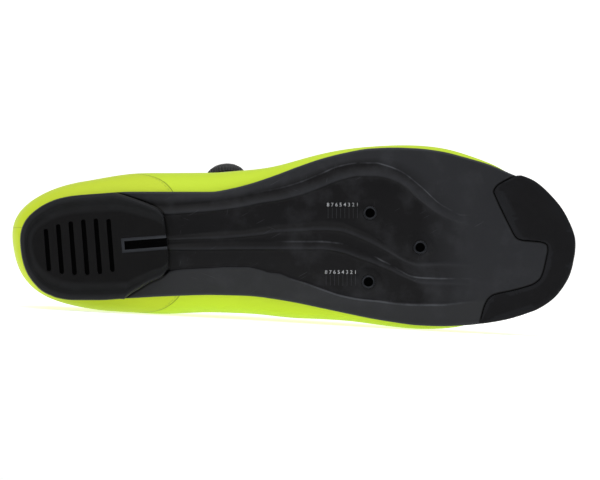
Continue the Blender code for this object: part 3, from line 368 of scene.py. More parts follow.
print("rows of the sole's edge", len(SOLE_EDGE), "and of its side", len(SOLE_SIDE))


# %% A smooth line through a table's rows
def curve(rows, column=1, by_angle=True):
    place = [math.acos(1 - 2 * row[0]) if by_angle else row[0] for row in rows]
    x, y = np.array(place, float), np.array([row[column] for row in rows], float)
    h = np.diff(x)
    slope = np.diff(y) / h
    m = np.zeros(len(y))
    m[0], m[-1] = slope[0], slope[-1]
    for i in range(1, len(y) - 1):
        if slope[i - 1] * slope[i] > 0:
            a, b = 2 * h[i] + h[i - 1], h[i] + 2 * h[i - 1]
            m[i] = (a + b) / (a / slope[i - 1] + b / slope[i])

    def value(share):
        at = math.acos(1 - 2 * min(max(share, 0.0), 1.0)) if by_angle else share
        at = min(max(at, x[0]), x[-1])
        i = min(int(np.searchsorted(x, at, side="right")) - 1, len(h) - 1)
        t = (at - x[i]) / h[i]
        return float(
            y[i] * (1 + 2 * t) * (1 - t) ** 2 + m[i] * h[i] * t * (1 - t) ** 2
            + y[i + 1] * t * t * (3 - 2 * t) - m[i + 1] * h[i] * t * t * (1 - t)
        )

    return value


outer_edge, inner_edge = curve(SOLE_EDGE, 1), curve(SOLE_EDGE, 2)
side_height, side_camber = curve(SOLE_SIDE, 1), curve(SOLE_SIDE, 2)


def edge_y(share, side):
    return BALL_WIDTH * (inner_edge(share) if side > 0 else -outer_edge(share))


def underside(x, y):
    """Height of the plate's underside under a row of points, without its ribs."""
    share = min(max(x / SOLE_LENGTH, 0.0), 1.0)
    middle = (edge_y(share, 1) + edge_y(share, -1)) / 2
    reach = max(abs(edge_y(share, 1) - middle), 1 * MM)
    aside = np.minimum(np.abs(np.asarray(y) - middle) / reach, 1.1)
    return TOE_SPRING * side_height(share) + EDGE_CAMBER * side_camber(share) * aside**2.2


print("edges at the ball, mm", [round(edge_y(0.674, side) / MM, 1) for side in (-1, 1)])


# %% How deep the mould presses the plate, across one station
# Each knot: its line and that table's column, a step aside in millimetres, and its depth in
# millimetres.
KNOTS = (
    ("outer", 0, 0.0, 0.0), ("outer", 0, 0.45, 0.0), (OUTER_RIB, 1, 0.0, 0.80),
    (OUTER_RIB, 2, 0.0, 0.0), (OUTER_RIB, 2, 1.0, 1.35), (SPINE, 1, 0.0, 1.25),
    (SPINE, 2, 0.0, 0.15), (SPINE, 2, 0.9, 1.15), (KEEL, 1, 0.0, 1.10), (KEEL, 2, 0.0, 0.15),
    (KEEL, 2, 0.9, 1.35), (INNER_RAIL, 1, 0.0, 1.35), (INNER_RAIL, 1, 0.9, -0.05),
    ("inner", 0, 0.35, 0.0), ("inner", 0, 0.0, 0.0),
)
# Columns of the grid between each knot and the next.
STEPS_BETWEEN = (16, 12, 10, 5, 22, 9, 5, 5, 9, 5, 22, 5, 14, 10)
PRESS_FADE = curve(
    ((0.0, 0.0), (0.15, 0.0), (0.19, 1.0), (0.58, 1.0), (0.66, 0.72), (0.76, 0.30),
     (0.83, 0.0), (1.0, 0.0)), by_angle=False,
)
lines_drawn = {
    i: curve(line, column)
    for i, (line, column, _, _) in enumerate(KNOTS) if not isinstance(line, str)
}
AT_RIB, AT_KEEL, AT_RAIL = 2, 8, 11  # where three of the lines stand among the knots
print("knots", len(KNOTS), "columns", sum(STEPS_BETWEEN))


def knots_across(share):
    """Where the knots cross one station, in metres, kept in order."""
    low, high = edge_y(share, -1), edge_y(share, 1)
    found = []
    for i, (line, _, aside, _) in enumerate(KNOTS):
        if line == "outer":
            first = lines_drawn[AT_RIB](max(share, 0.27)) * BALL_WIDTH
            found.append(low + aside * (first - low))
        elif line == "inner":
            last = lines_drawn[AT_RAIL](max(share, 0.262)) * BALL_WIDTH
            found.append(high - aside * (high - last))
        else:
            found.append(BALL_WIDTH * lines_drawn[i](share) + aside * MM)
    least = 0.25 * MM
    for i in range(1, len(found)):
        found[i] = max(found[i], found[i - 1] + least)
    found[-1] = high
    for i in range(len(found) - 2, -1, -1):
        found[i] = min(found[i], found[i + 1] - least)
    found[0] = low
    # Near the two tips the lines would leave the plate, so there the columns are even.
    even = np.linspace(low, high, len(found))
    blend = min(1.0, max(0.0, (0.10 - share) / 0.06, (share - 0.85) / 0.07))
    return (1 - blend) * np.array(found) + blend * even


ROUNDED_EDGE, SEAT_RADIUS, SEAT_PROUD = 1.1 * MM, 6.5 * MM, 0.4 * MM


def station(share, steps):
    """The points of one station of the underside."""
    knots = knots_across(share)
    depth = np.array([knot[3] for knot in KNOTS]) * PRESS_FADE(share)
    y = np.concatenate(
        [np.linspace(a, b, n, endpoint=False) for a, b, n in zip(knots, knots[1:], steps)]
        + [knots[-1:]]
    )
    fine = np.arange(knots[0] - 1 * MM, knots[-1] + 1 * MM, 0.08 * MM)
    blur = np.exp(-0.5 * (np.arange(-10, 11) * 0.08 / 0.24) ** 2)
    pressed = np.convolve(np.interp(fine, knots, depth), blur / blur.sum(), "same")
    x = SOLE_LENGTH * share
    z = underside(x, y) + np.interp(y, fine, pressed) * MM
    low, high = knots[0], knots[-1]
    from_edge = np.minimum(y - low, high - y) * math.sin(math.acos(1 - 2 * share)) ** 0.5
    inside = np.clip(ROUNDED_EDGE - from_edge, 0, None)
    z += ROUNDED_EDGE - np.sqrt(np.maximum(ROUNDED_EDGE**2 - inside**2, 0))
    for place_x, place_y in BOLTS.values():
        far = np.hypot(x - SOLE_LENGTH * place_x, y - BALL_WIDTH * place_y)
        rise = np.clip((SEAT_RADIUS + 0.6 * MM - far) / (1.0 * MM), 0, 1)
        z -= SEAT_PROUD * rise * rise * (3 - 2 * rise)
    return np.stack([np.full(len(y), x), y, z], 1)


# %% Lay out the plate and press it
def grid_of(name, rows, columns):
    """A flat grid whose points are then moved to the rows given."""
    bpy.ops.mesh.primitive_grid_add(x_subdivisions=rows, y_subdivisions=columns, size=2)
    piece = bpy.context.object
    piece.name = piece.data.name = name
    count = len(piece.data.vertices)
    flat = np.empty(count * 3)
    piece.data.vertices.foreach_get("co", flat)
    flat = flat.reshape(-1, 3)
    return piece, np.rint((flat[:, 0] + 1) / 2 * rows).astype(int), np.rint(
        (flat[:, 1] + 1) / 2 * columns).astype(int)


# The tips are one point each, and the stations next to them are left out: there the columns
# would be thinner than a hair.
angles = [0.0] + [math.pi * i / 420 for i in range(5, 416)] + [math.pi]
STATIONS = len(angles) - 1
low_rows, high_rows = [], []
for i, angle in enumerate(angles):
    share = (1 - math.cos(angle)) / 2
    row = station(share, STEPS_BETWEEN)
    low_rows.append(row)
    top_y = np.linspace(row[0, 1], row[-1, 1], 13)
    high_rows.append(np.stack(
        [np.full(13, row[0, 0]), top_y, underside(row[0, 0], top_y) + PLATE_WALL], 1))
    if i in (0, STATIONS):
        middle = (row[0] + row[-1]) / 2
        low_rows[-1][:] = middle
        high_rows[-1][:] = (middle[0], middle[1], underside(middle[0], middle[1]) + PLATE_WALL)
plate, along, aside = grid_of("sole_plate", STATIONS, sum(STEPS_BETWEEN))
plate.data.vertices.foreach_set("co", np.stack(low_rows)[along, aside].ravel())
plate_top, along, aside = grid_of("plate_top", STATIONS, 12)
plate_top.data.vertices.foreach_set("co", np.stack(high_rows)[along, aside].ravel())
for piece in (plate, plate_top):
    with editing(piece):
        bpy.ops.mesh.remove_doubles(threshold=0.001 * MM)
plate.select_set(True)
plate_top.select_set(True)
bpy.context.view_layer.objects.active = plate
bpy.ops.object.join()
with editing(plate, by="EDGE", pick="DESELECT"):
    bpy.ops.mesh.select_non_manifold(extend=False)
    bpy.ops.mesh.bridge_edge_loops()
    bpy.ops.mesh.select_all(action="SELECT")
    bpy.ops.mesh.normals_make_consistent(inside=False)
work = bmesh.new()
work.from_mesh(plate.data)
print("plate faces", len(work.faces), "open edges", sum(not e.is_manifold for e in work.edges),
      "volume in cm3", round(work.calc_volume(signed=True) * 1e6, 2))
work.free()


# %% [markdown]
# ## The toe bumper and its bed
# The bumper is a separate rubber moulding that wraps the toe and lies in a bed in the plate. The
# solid has the right sections, so its copy is rounded: sharp edges are kept by creases while
# the long curves are smoothed, then the edges get a small radius as moulded rubber has. A copy
# of it, swollen by the width of the seam and drawn again as one clean skin, cuts the bed.

# %% Round the bumper
def creased(piece, degrees):
    """Marks the edges sharper than an angle, so that smoothing leaves them."""
    with editing(piece, by="EDGE", pick="DESELECT"):
        bpy.ops.mesh.edges_select_sharp(sharpness=math.radians(degrees))
        bpy.ops.transform.edge_crease(value=1.0)


def edge_distance(spot):
    """How far a point lies inside the sole's edge."""
    share = spot.x / SOLE_LENGTH
    return min(edge_y(share, 1) - spot.y, spot.y - edge_y(share, -1), SOLE_LENGTH - spot.x)


SEAM_WIDTH = 0.55 * MM
bumper = standing_copy("toe_bumper", "toe_rubber_bumper")
creased(bumper, 42)
shaped(bumper, "SUBSURF", levels=2, render_levels=2)
# Smoothing draws the toe in, so the bumper's outer side is let out again.
LET_OUT = 1.7 * MM
for v in bumper.data.vertices:
    weight = min(
        1.0, max(0.0, 1 - edge_distance(v.co) / (7 * MM))) * min(1.0,
        max(0.0, (v.co.x - 238 * MM) / (30 * MM)))
    away = Vector((v.co.x - 240 * MM, v.co.y, 0)).normalized()
    v.co += LET_OUT * weight * away
cutters = bumper.copy()
cutters.data = bumper.data.copy()
bpy.context.collection.objects.link(cutters)
# The seam closes towards the sole's edge, so no daylight shows through it.
inside = cutters.vertex_groups.new(name="inside")
for v in cutters.data.vertices:
    share = min(1.0, max(0.0, (edge_distance(v.co) / MM - 1.0) / 2.0))
    inside.add([v.index], share, "REPLACE")
shaped(cutters, "DISPLACE", strength=SEAM_WIDTH, mid_level=0.0, vertex_group="inside")
shaped(cutters, "REMESH", mode="VOXEL", voxel_size=0.35 * MM)
shaped(
    bumper, "BEVEL", width=0.3 * MM, segments=2, limit_method="ANGLE",
    angle_limit=math.radians(42))
smooth(bumper, 40)
print("bumper faces", len(bumper.data.polygons), "cutter", len(cutters.data.polygons))

# %% Cut the bed and the three bolt holes in one go
HOLE_RADIUS = 3.5 * MM
drills = []
for place_x, place_y in BOLTS.values():
    bpy.ops.mesh.primitive_cylinder_add(
        vertices=48, radius=HOLE_RADIUS, depth=12 * MM,
        location=(SOLE_LENGTH * place_x, BALL_WIDTH * place_y, 1 * MM))
    drills.append(bpy.context.object)
select_only(cutters)
for drill in drills:
    drill.select_set(True)
bpy.ops.object.join()
shaped(plate, "BOOLEAN", operation="DIFFERENCE", solver="EXACT", object=cutters)
bpy.data.objects.remove(cutters, do_unlink=True)
smooth(plate, 38)
print("cut plate faces", len(plate.data.polygons))

# %% Teach the plate where it is pressed and where its inner band runs
x, y, z = coordinates(plate).T
shares = np.linspace(0, 1, 601)
edges = np.array([(edge_y(s, -1), edge_y(s, 1), side_height(s), side_camber(s)) for s in shares])
low, high, rise, bow = (np.interp(x / SOLE_LENGTH, shares, column) for column in edges.T)
reach = np.maximum((high - low) / 2, 1 * MM)
off = np.minimum(np.abs(y - (high + low) / 2) / reach, 1.1)
depth = z - TOE_SPRING * rise - EDGE_CAMBER * bow * off**2.2
for place_x, place_y in BOLTS.values():
    far = np.hypot(x - SOLE_LENGTH * place_x, y - BALL_WIDTH * place_y)
    depth += SEAT_PROUD * np.clip((SEAT_RADIUS + 0.6 * MM - far) / (1.0 * MM), 0, 1)
PRESSED_DEEP = 1.25 * MM
note(plate, "pressed", depth / PRESSED_DEEP)
rail, keel, rib = (
    np.interp(x / SOLE_LENGTH, shares, [BALL_WIDTH * lines_drawn[at](s) for s in shares])
    for at in (AT_RAIL, AT_KEEL, AT_RIB))
note(plate, "inner_band", y - rail)
note(plate, "keel_edge", y - keel)
note(plate, "rib_edge", y - rib)
note(plate, "edge_far", np.minimum(high - y, y - low))
PLATE_XY = np.stack([x, y], 1)
bumper_skin = BVHTree.FromPolygons(
    [tuple(v.co) for v in bumper.data.vertices], [tuple(f.vertices) for f in bumper.data.polygons])
toe_far = np.full(len(x), 1.0)
for index in np.nonzero(x > 225 * MM)[0]:
    toe_far[index] = bumper_skin.find_nearest((x[index], y[index], z[index]))[3]
lay_down(bumper, "toe_rubber", "toe_bumper")


# %% [markdown]
# ## The heel pad
# The pad is a block of moulded rubber screwed or glued to the plate, worn by walking. It has a
# thin rim, a shallow channel inside it and a raised shoulder round a flat tread with six
# drainage slots and one long key slot. It starts as a disc with the pad's outline, and each
# ring of the profile is one extrude and one scale. The slots are then milled out.

# %% Outline of the pad
PAD_SEAM = (
    (0.1712, -0.2907), (0.2054, -0.2572), (0.2342, -0.2237), (0.2486, -0.2013),
    (0.2577, -0.1677), (0.2613, -0.1286), (0.2649, -0.0280), (0.2667, 0.0727),
    (0.2676, 0.1230), (0.2631, 0.1566), (0.2541, 0.1845), (0.2342, 0.2125),
    (0.2162, 0.2460), (0.1982, 0.2796), (0.1874, 0.3075),
)


def edge_spot(angle):
    """A point of the sole's edge; 0 is the heel, and the outer side comes first."""
    angle %= 2 * math.pi
    share = (1 - math.cos(angle)) / 2
    return SOLE_LENGTH * share, edge_y(share, -1 if angle < math.pi else 1)


def rounded(points, between):
    """A smooth line through points, with so many steps between each two."""
    p = np.array([points[0]] + list(points) + [points[-1]], float)
    found = []
    for i in range(1, len(p) - 2):
        for t in np.linspace(0, 1, between, endpoint=False):
            found.append(0.5 * (
                2 * p[i] + (p[i + 1] - p[i - 1]) * t
                + (2 * p[i - 1] - 5 * p[i] + 4 * p[i + 1] - p[i + 2]) * t * t
                + (3 * p[i] - p[i - 1] - 3 * p[i + 1] + p[i + 2]) * t**3))
    return found + [p[-2]]


seam = rounded([(SOLE_LENGTH * s, BALL_WIDTH * w) for s, w in PAD_SEAM], 5)
first, last = (math.acos(1 - 2 * PAD_SEAM[k][0]) for k in (0, -1))
around = [edge_spot(-last + (first + last) * k / 90) for k in range(1, 90)]
pad_outline = [tuple(p) for p in seam] + around
print("pad outline", len(pad_outline), "points")


def nearest_on(line, spots):
    """Distance from each point to a line of points, and the place along it."""
    line = np.array(line)
    a, step = line[:-1], line[1:] - line[:-1]
    long = (step**2).sum(1)
    run = np.concatenate([[0], np.cumsum(np.sqrt(long))])
    best, place = np.full(len(spots), 1e9), np.zeros(len(spots))
    for i in range(len(a)):
        t = np.clip(((spots - a[i]) @ step[i]) / max(long[i], 1e-12), 0, 1)
        far = np.linalg.norm(spots - (a[i] + t[:, None] * step[i]), axis=1)
        near = far < best
        best[near], place[near] = far[near], (run[i] + t * math.sqrt(long[i]))[near]
    return best, place


# joint_far keeps the distance to the toe bumper and to the heel pad, for the painted shade along
# the joints.
note(plate, "joint_far", np.minimum(toe_far, nearest_on([tuple(p) for p in seam], PLATE_XY)[0]))
lay_down(plate, "composite_plate", "outsole")

# %% Extrude the pad's rings and mill its slots
PAD_TOP = TOE_SPRING * side_height(0) - 0.3 * MM
PAD_FRONT = SOLE_LENGTH * PAD_SEAM[7][0]
pad_middle = sum(y for _, y in pad_outline) / len(pad_outline)
# Height over the ground, length kept and width kept, from the plate down to the tread.
PAD_PROFILE = (
    (0.45, 0.999, 0.997), (0.26, 0.992, 0.980), (0.16, 0.978, 0.945), (0.135, 0.970, 0.905),
    (0.125, 0.958, 0.850), (0.115, 0.950, 0.810), (0.090, 0.938, 0.765), (0.028, 0.922, 0.700),
    (0.000, 0.905, 0.640),
)
bpy.ops.mesh.primitive_circle_add(vertices=len(pad_outline), radius=1, fill_type="NGON")
pad = bpy.context.object
pad.name = pad.data.name = "heel_rubber_pad"
pad.data.vertices.foreach_set("co", np.array([(x, y, PAD_TOP) for x, y in pad_outline]).ravel())
with editing(pad, by="FACE"):
    bpy.ops.mesh.duplicate()
    before = (1.0, 1.0, 1.0)
    for ring in PAD_PROFILE:
        bpy.ops.mesh.extrude_region_move(
            TRANSFORM_OT_translate={"value": (0, 0, PAD_TOP * (ring[0] - before[0]))})
        bpy.ops.transform.resize(
            value=(ring[1] / before[1], ring[2] / before[2], 1),
            center_override=(PAD_FRONT, pad_middle, 0))
        before = ring
    bpy.ops.mesh.inset(thickness=0.9 * MM)
    bpy.ops.mesh.select_all(action="SELECT")
    bpy.ops.mesh.remove_doubles(threshold=0.001 * MM)
    bpy.ops.mesh.normals_make_consistent(inside=False)


# The shallow channel round the shoulder runs out towards the front seam.
for v in pad.data.vertices:
    for height, depth in ((0.125, 0.45 * MM), (0.115, 0.60 * MM)):
        if abs(v.co.z - PAD_TOP * height) < 0.01 * MM:
            v.co.z += depth * min(1.0, max(0.0, (PAD_FRONT - 6 * MM - v.co.x) / (18 * MM)))
            break


def weigh(piece):
    """Prints whether a mesh is closed, and its volume."""
    work = bmesh.new()
    work.from_mesh(piece.data)
    print(
        piece.name, "faces", len(work.faces), "open edges",
        sum(not e.is_manifold for e in work.edges),
          "volume in cm3", round(work.calc_volume(signed=True) * 1e6, 2))
    work.free()


weigh(pad)
# Half the length of each slot, in millimetres, from the heel on; they lean by SLOT_TURN degrees.
SLOT_WIDTH, SLOT_DEPTH, SLOT_PITCH, SLOT_TURN = 2.4 * MM, 3.2 * MM, 6.55 * MM, 4.5
SLOT_HALVES = (11.0, 13.0, 14.0, 14.5, 14.5, 13.8)
mills = []
for k, half in enumerate(SLOT_HALVES):
    half *= MM
    bpy.ops.mesh.primitive_cylinder_add(vertices=24, radius=SLOT_WIDTH / 2, depth=2 * SLOT_DEPTH)
    mill = bpy.context.object
    for v in mill.data.vertices:
        v.co.y += math.copysign(half - SLOT_WIDTH / 2, v.co.y)
    mill.data.transform(Matrix.Translation(
        (SOLE_LENGTH * 0.0505 + k * SLOT_PITCH, (2.9 - 0.48 * k) * MM, 0)
    ) @ Matrix.Rotation(math.radians(-SLOT_TURN), 4, "Z"))
    mills.append(mill)
KEY_LENGTH, KEY_WIDTH, KEY_DEPTH = 22.4 * MM, 4.5 * MM, 4.2 * MM
KEY_RIM, LEDGE = 1.55 * MM, 0.7 * MM
long, wide = KEY_LENGTH + KEY_RIM + 6 * MM, KEY_WIDTH + 2 * KEY_RIM
bpy.ops.mesh.primitive_cube_add(size=1)
mill = bpy.context.object
mill.data.transform(Matrix.Diagonal((long, wide, 2 * LEDGE, 1)))
with editing(mill, by="FACE", pick="DESELECT"):
    work = bmesh.from_edit_mesh(mill.data)
    for face in work.faces:
        face.select = face.normal.z > 0.9
    bmesh.update_edit_mesh(mill.data)
    bpy.ops.mesh.inset(thickness=KEY_RIM)
    bpy.ops.mesh.extrude_region_move(TRANSFORM_OT_translate={"value": (0, 0, KEY_DEPTH - LEDGE)})
mill.data.transform(
    Matrix.Translation((PAD_FRONT - KEY_LENGTH, BALL_WIDTH * 0.006, 0))
    @ Matrix.Rotation(math.radians(-SLOT_TURN), 4, "Z")
    @ Matrix.Translation((long / 2 - KEY_RIM, 0, 0)))
mills.append(mill)
for mill in mills:
    shaped(pad, "BOOLEAN", operation="DIFFERENCE", solver="EXACT", object=mill)
    bpy.data.objects.remove(mill, do_unlink=True)
weigh(pad)
shaped(
    pad, "BEVEL", width=0.25 * MM, segments=2, limit_method="ANGLE", angle_limit=math.radians(50))
smooth(pad, 30)
for face in pad.data.polygons:
    if face.normal.z < -0.999 and face.center.z < 0.1 * MM:
        face.use_smooth = False
note(pad, "tread", 1 - np.clip(coordinates(pad)[:, 2] / (0.35 * MM), 0, 1))
# The ledge round the key slot is a strip of its own, painted pale grey.
ledge = [
    f.index for f in pad.data.polygons
    if abs(f.center.z - LEDGE) < 0.12 * MM and abs(f.normal.z) > 0.9
]
print("ledge faces", len(ledge))
lay_down(pad, "heel_rubber", "heel_pad")


# %% [markdown]
# ## The three threaded inserts
# A cleat bolt needs steel to bite in, so each hole has a plated threaded insert with a rounded
# lip. Its section is drawn once as a line of points and spun round the hole, thread included,
# and the copies stand on the plate's seats.

# %% Spin one insert and copy it
def spun(name, profile, steps, middle=(0, 0, 0)):
    """Turns a line of (radius, height) points about an upright axis into a closed shape."""
    mesh = bpy.data.meshes.new(name)
    mesh.from_pydata(
        [(r, 0, z) for r, z in profile], [(i, i + 1) for i in range(len(profile) - 1)], [])
    piece = bpy.data.objects.new(name, mesh)
    bpy.context.collection.objects.link(piece)
    with editing(piece):
        bpy.ops.mesh.spin(steps=steps, angle=2 * math.pi, center=middle, axis=(0, 0, 1))
        bpy.ops.mesh.select_all(action="SELECT")
        bpy.ops.mesh.remove_doubles(threshold=0.002 * MM)
        bpy.ops.mesh.normals_make_consistent(inside=False)
    return piece


BORE, LIP = 2.45 * MM, 3.35 * MM
section = [(0, 3.3 * MM), (BORE, 3.3 * MM)]
for turn in range(4):
    section += [(BORE - 0.28 * MM, (2.9 - 0.8 * turn) * MM), (BORE, (2.5 - 0.8 * turn) * MM)]
section += [
    (BORE + 0.12 * MM, -0.06 * MM), (BORE + 0.35 * MM, -0.22 * MM), (LIP - 0.25 * MM, -0.22 * MM),
    (LIP, 0.02 * MM), (LIP, 3.6 * MM), (0, 3.6 * MM),
]
insert = spun("insert", section, 48)
for name, (place_x, place_y) in BOLTS.items():
    x, y = SOLE_LENGTH * place_x, BALL_WIDTH * place_y
    made = insert.copy()
    made.data = insert.data.copy()
    made.name = made.data.name = "threaded_insert_" + name
    bpy.context.collection.objects.link(made)
    made.data.transform(Matrix.Translation((x, y, float(underside(x, y)) - SEAT_PROUD)))
    smooth(made, 40)
    lay_down(made, "insert_steel", "cleat_insert_" + name)
bpy.data.objects.remove(insert, do_unlink=True)


# %% [markdown]
# ## The scales beside the bolt holes
# Beside the two rear bolts the mould leaves a row of fine lines, numbered from 8 to 1, that show
# how far forward a cleat stands. They are flat print a tenth of a millimetre thick: text and
# thin strips are made a mesh, joined, and dropped on to the plate's curve.

# %% Number the lines and drop them on the plate
MARKS, MARK_PITCH, NUMBER_HEIGHT, LINE_WIDTH = 8, 2.18 * MM, 2.0 * MM, 0.16 * MM
ground_tree = BVHTree.FromPolygons(
    [STANDING @ v.co for v in plate.data.vertices],
    [tuple(f.vertices) for f in plate.data.polygons])
for side, first_x, number_y, line_start, line_end in (
        ("outer", 160.3, -20.6, -18.9, -13.6), ("inner", 159.3, 14.5, 16.0, 21.4)):
    strokes = []
    for i in range(MARKS):
        x = first_x * MM + i * MARK_PITCH
        text = bpy.data.curves.new("number", "FONT")
        text.body, text.size = str(MARKS - i), NUMBER_HEIGHT * 1.35
        text.align_x = text.align_y = "CENTER"
        text.offset = 0.02 * MM
        number = bpy.data.objects.new("number", text)
        bpy.context.collection.objects.link(number)
        select_only(number)
        bpy.ops.object.convert(target="MESH")
        number = bpy.context.object
        number.data.transform(
            Matrix.Translation((x, number_y * MM, 0)) @ Matrix.Rotation(math.pi, 4, "X"))
        strokes.append(number)
        bpy.ops.mesh.primitive_plane_add(size=1)
        stroke = bpy.context.object
        long = abs(line_end - line_start) * MM
        stroke.data.transform(
            Matrix.Translation((x, (line_start + line_end) / 2 * MM, 0))
            @ Matrix.Rotation(math.pi, 4, "X") @ Matrix.Diagonal((LINE_WIDTH, long, 1, 1)))
        with editing(stroke):
            bpy.ops.mesh.subdivide(number_cuts=5)
        strokes.append(stroke)
    select_only(strokes[0])
    for stroke in strokes[1:]:
        stroke.select_set(True)
    bpy.ops.object.join()
    scale = bpy.context.object
    scale.name = scale.data.name = "cleat_scale_" + side
    with editing(scale):
        bpy.ops.mesh.extrude_region_move(TRANSFORM_OT_translate={"value": (0, 0, -0.1 * MM)})
    for v in scale.data.vertices:
        hit = ground_tree.ray_cast(Vector((v.co.x, v.co.y, -30 * MM)), Vector((0, 0, 1)))
        v.co.z += hit[0].z + 0.04 * MM
    weigh(scale)
    lay_down(scale, "composite_plate")


# %% [markdown]
# ## The upper
# The upper is one shell of microfibre, a fine synthetic suede with a smooth film, pulled over a
# last. Its solid has the right form in coarse steps, so the copy is smoothed by subdivision
# while its cut edges stay sharp. Its panels are only half a millimetre thick, so their edges,
# stitches and holes are drawn by the finish. For that, each point of the mesh learns how far it
# is from the collar's rim and from the seam of the heel panel.

# %% The rim of collar and throat, and the heel panel's seam
UPPER_RIM = (
    (0.000, 0.012, 0.000, 0.925), (0.012, 0.017, 0.108, 0.920), (0.035, 0.029, 0.199, 0.902),
    (0.070, 0.059, 0.280, 0.860), (0.110, 0.100, 0.333, 0.810), (0.160, 0.156, 0.360, 0.739),
    (0.210, 0.208, 0.366, 0.712), (0.260, 0.260, 0.355, 0.734), (0.310, 0.308, 0.317, 0.815),
    (0.355, 0.350, 0.253, 0.924), (0.400, 0.388, 0.183, 0.995), (0.450, 0.440, 0.151, 0.973),
    (0.520, 0.513, 0.142, 0.886), (0.590, 0.582, 0.135, 0.788), (0.660, 0.638, 0.118, 0.717),
    (0.740, 0.672, 0.090, 0.674), (0.830, 0.691, 0.058, 0.652), (0.920, 0.700, 0.028, 0.643),
    (1.000, 0.702, 0.000, 0.641),
)
RIM_CENTRE = ((0.0, 0.000), (0.30, 0.012), (0.50, 0.030), (1.0, 0.040))
INSTEP_HEIGHT = 92.0 * MM
rim_x, rim_y, rim_z = curve(UPPER_RIM, 1), curve(UPPER_RIM, 2), curve(UPPER_RIM, 3)
rim_centre = curve(RIM_CENTRE)


def rim_spot(share, side):
    return Vector((
        SOLE_LENGTH * rim_x(share), BALL_WIDTH * (rim_centre(share) + side * rim_y(share)),
        INSTEP_HEIGHT * rim_z(share)))


RIM_STEPS = 150
rim_line = [rim_spot((1 - math.cos(math.pi * i / RIM_STEPS)) / 2, -1) for i in range(RIM_STEPS)]
rim_line += [
    rim_spot((1 - math.cos(math.pi * i / RIM_STEPS)) / 2, 1) for i in range(RIM_STEPS, 0, -1)]
rim_share = [(1 - math.cos(math.pi * min(i, 2 * RIM_STEPS - i) / RIM_STEPS)) / 2
             for i in range(2 * RIM_STEPS)]
rim_run = np.concatenate([[0], np.cumsum(
    [(b - a).length for a, b in zip(rim_line, rim_line[1:])])])
print("rim runs", round(rim_run[-1] * 1000), "mm round")
# Height and length of the heel panel's front seam, in millimetres, outer and inner side.
PANEL_SEAM = ((6, 92, 98), (13, 84, 89), (20, 74.5, 78), (28, 62.5, 66), (40, 51, 55),
              (55, 46, 49), (75, 44, 46), (100, 43, 45))

# %% Smooth the shell and teach it its seams
shell = standing_copy("upper", "microfibre_upper")
creased(shell, 60)
shaped(shell, "SUBSURF", levels=2, render_levels=2)
smooth(shell, 50)
spots = coordinates(shell)
# The heel cup is fuller than its solid: it swells back a little between sole and collar.
CUP_SWELL = 2.2 * MM
cup = np.clip(
    (30 * MM - spots[:, 0]) / (24 * MM), 0, 1) * np.clip((spots[:, 2] - 9 * MM) / (9 * MM), 0, 1)
cup *= np.clip((70 * MM - spots[:, 2]) / (40 * MM), 0, 1)
spots[:, 0] -= CUP_SWELL * cup * cup * (3 - 2 * cup)
shell.data.vertices.foreach_set("co", spots.ravel())
rim_far, rim_place = nearest_on(rim_line + rim_line[:1], spots)
place_share = np.interp(rim_place, rim_run, rim_share)
# The edge panel is 6 mm wide round the collar and widens to 13 mm beside the laces.
panel_wide = np.interp(place_share, (0.24, 0.42, 0.8, 1.0), (6.5, 13.0, 13.0, 15.0)) * MM
note(shell, "edge_panel", rim_far - panel_wide)
note(shell, "rim_far", rim_far)
note(shell, "rim_place", rim_place)
seam_far, seam_place = np.zeros(len(spots)), np.zeros(len(spots))
for side, column in ((-1, 1), (1, 2)):
    mine = np.sign(spots[:, 1] - 0.01 * BALL_WIDTH) == side
    flat = spots[mine][:, [0, 2]]
    line = np.array([(row[column] * MM, row[0] * MM) for row in PANEL_SEAM])
    far, place = nearest_on(line, flat)
    at = np.interp(flat[:, 1], line[:, 1], line[:, 0])
    seam_far[mine], seam_place[mine] = far * np.sign(flat[:, 0] - at), place
note(shell, "heel_seam", seam_far)
note(shell, "heel_seam_place", seam_place)
# Vents: a field of small holes over the toes and one on each side of the midfoot.
x, y, z = spots.T
note(shell, "around", 42 * MM * np.arctan2(y - 0.01 * BALL_WIDTH, z - 20 * MM))
vent = np.clip((rim_far - 17 * MM) / (9 * MM), 0, 1) * np.clip((z - 33 * MM) / (9 * MM), 0, 1)
vent *= np.clip((x - 176 * MM) / (14 * MM), 0, 1) * np.clip((262 * MM - x) / (22 * MM), 0, 1)
note(shell, "vent", vent)
print("shell points", len(spots), "in the vented field", int(np.sum(vent > 0.5)))

# %% Tell the outside from the lining
tree = BVHTree.FromPolygons(
    [tuple(p) for p in spots], [tuple(f.vertices) for f in shell.data.polygons])
inside_faces = []
for face in shell.data.polygons:
    middle = Vector(face.center)
    hit = tree.ray_cast(middle - 0.2 * MM * face.normal, -face.normal, 4.5 * MM)
    axis = Vector((min(max(middle.x, 30 * MM), 250 * MM), 0.01 * BALL_WIDTH, 34 * MM))
    if hit[0] is None:
        inside_faces.append(False)
    else:
        inside_faces.append(face.normal.dot(middle - axis) < 0)
shell.data.attributes.new("lining", "FLOAT", "FACE").data.foreach_set(
    "value", np.array(inside_faces, np.float32))
print("lining faces", sum(inside_faces), "of", len(inside_faces))
lay_down(shell, "microfibre", "upper")
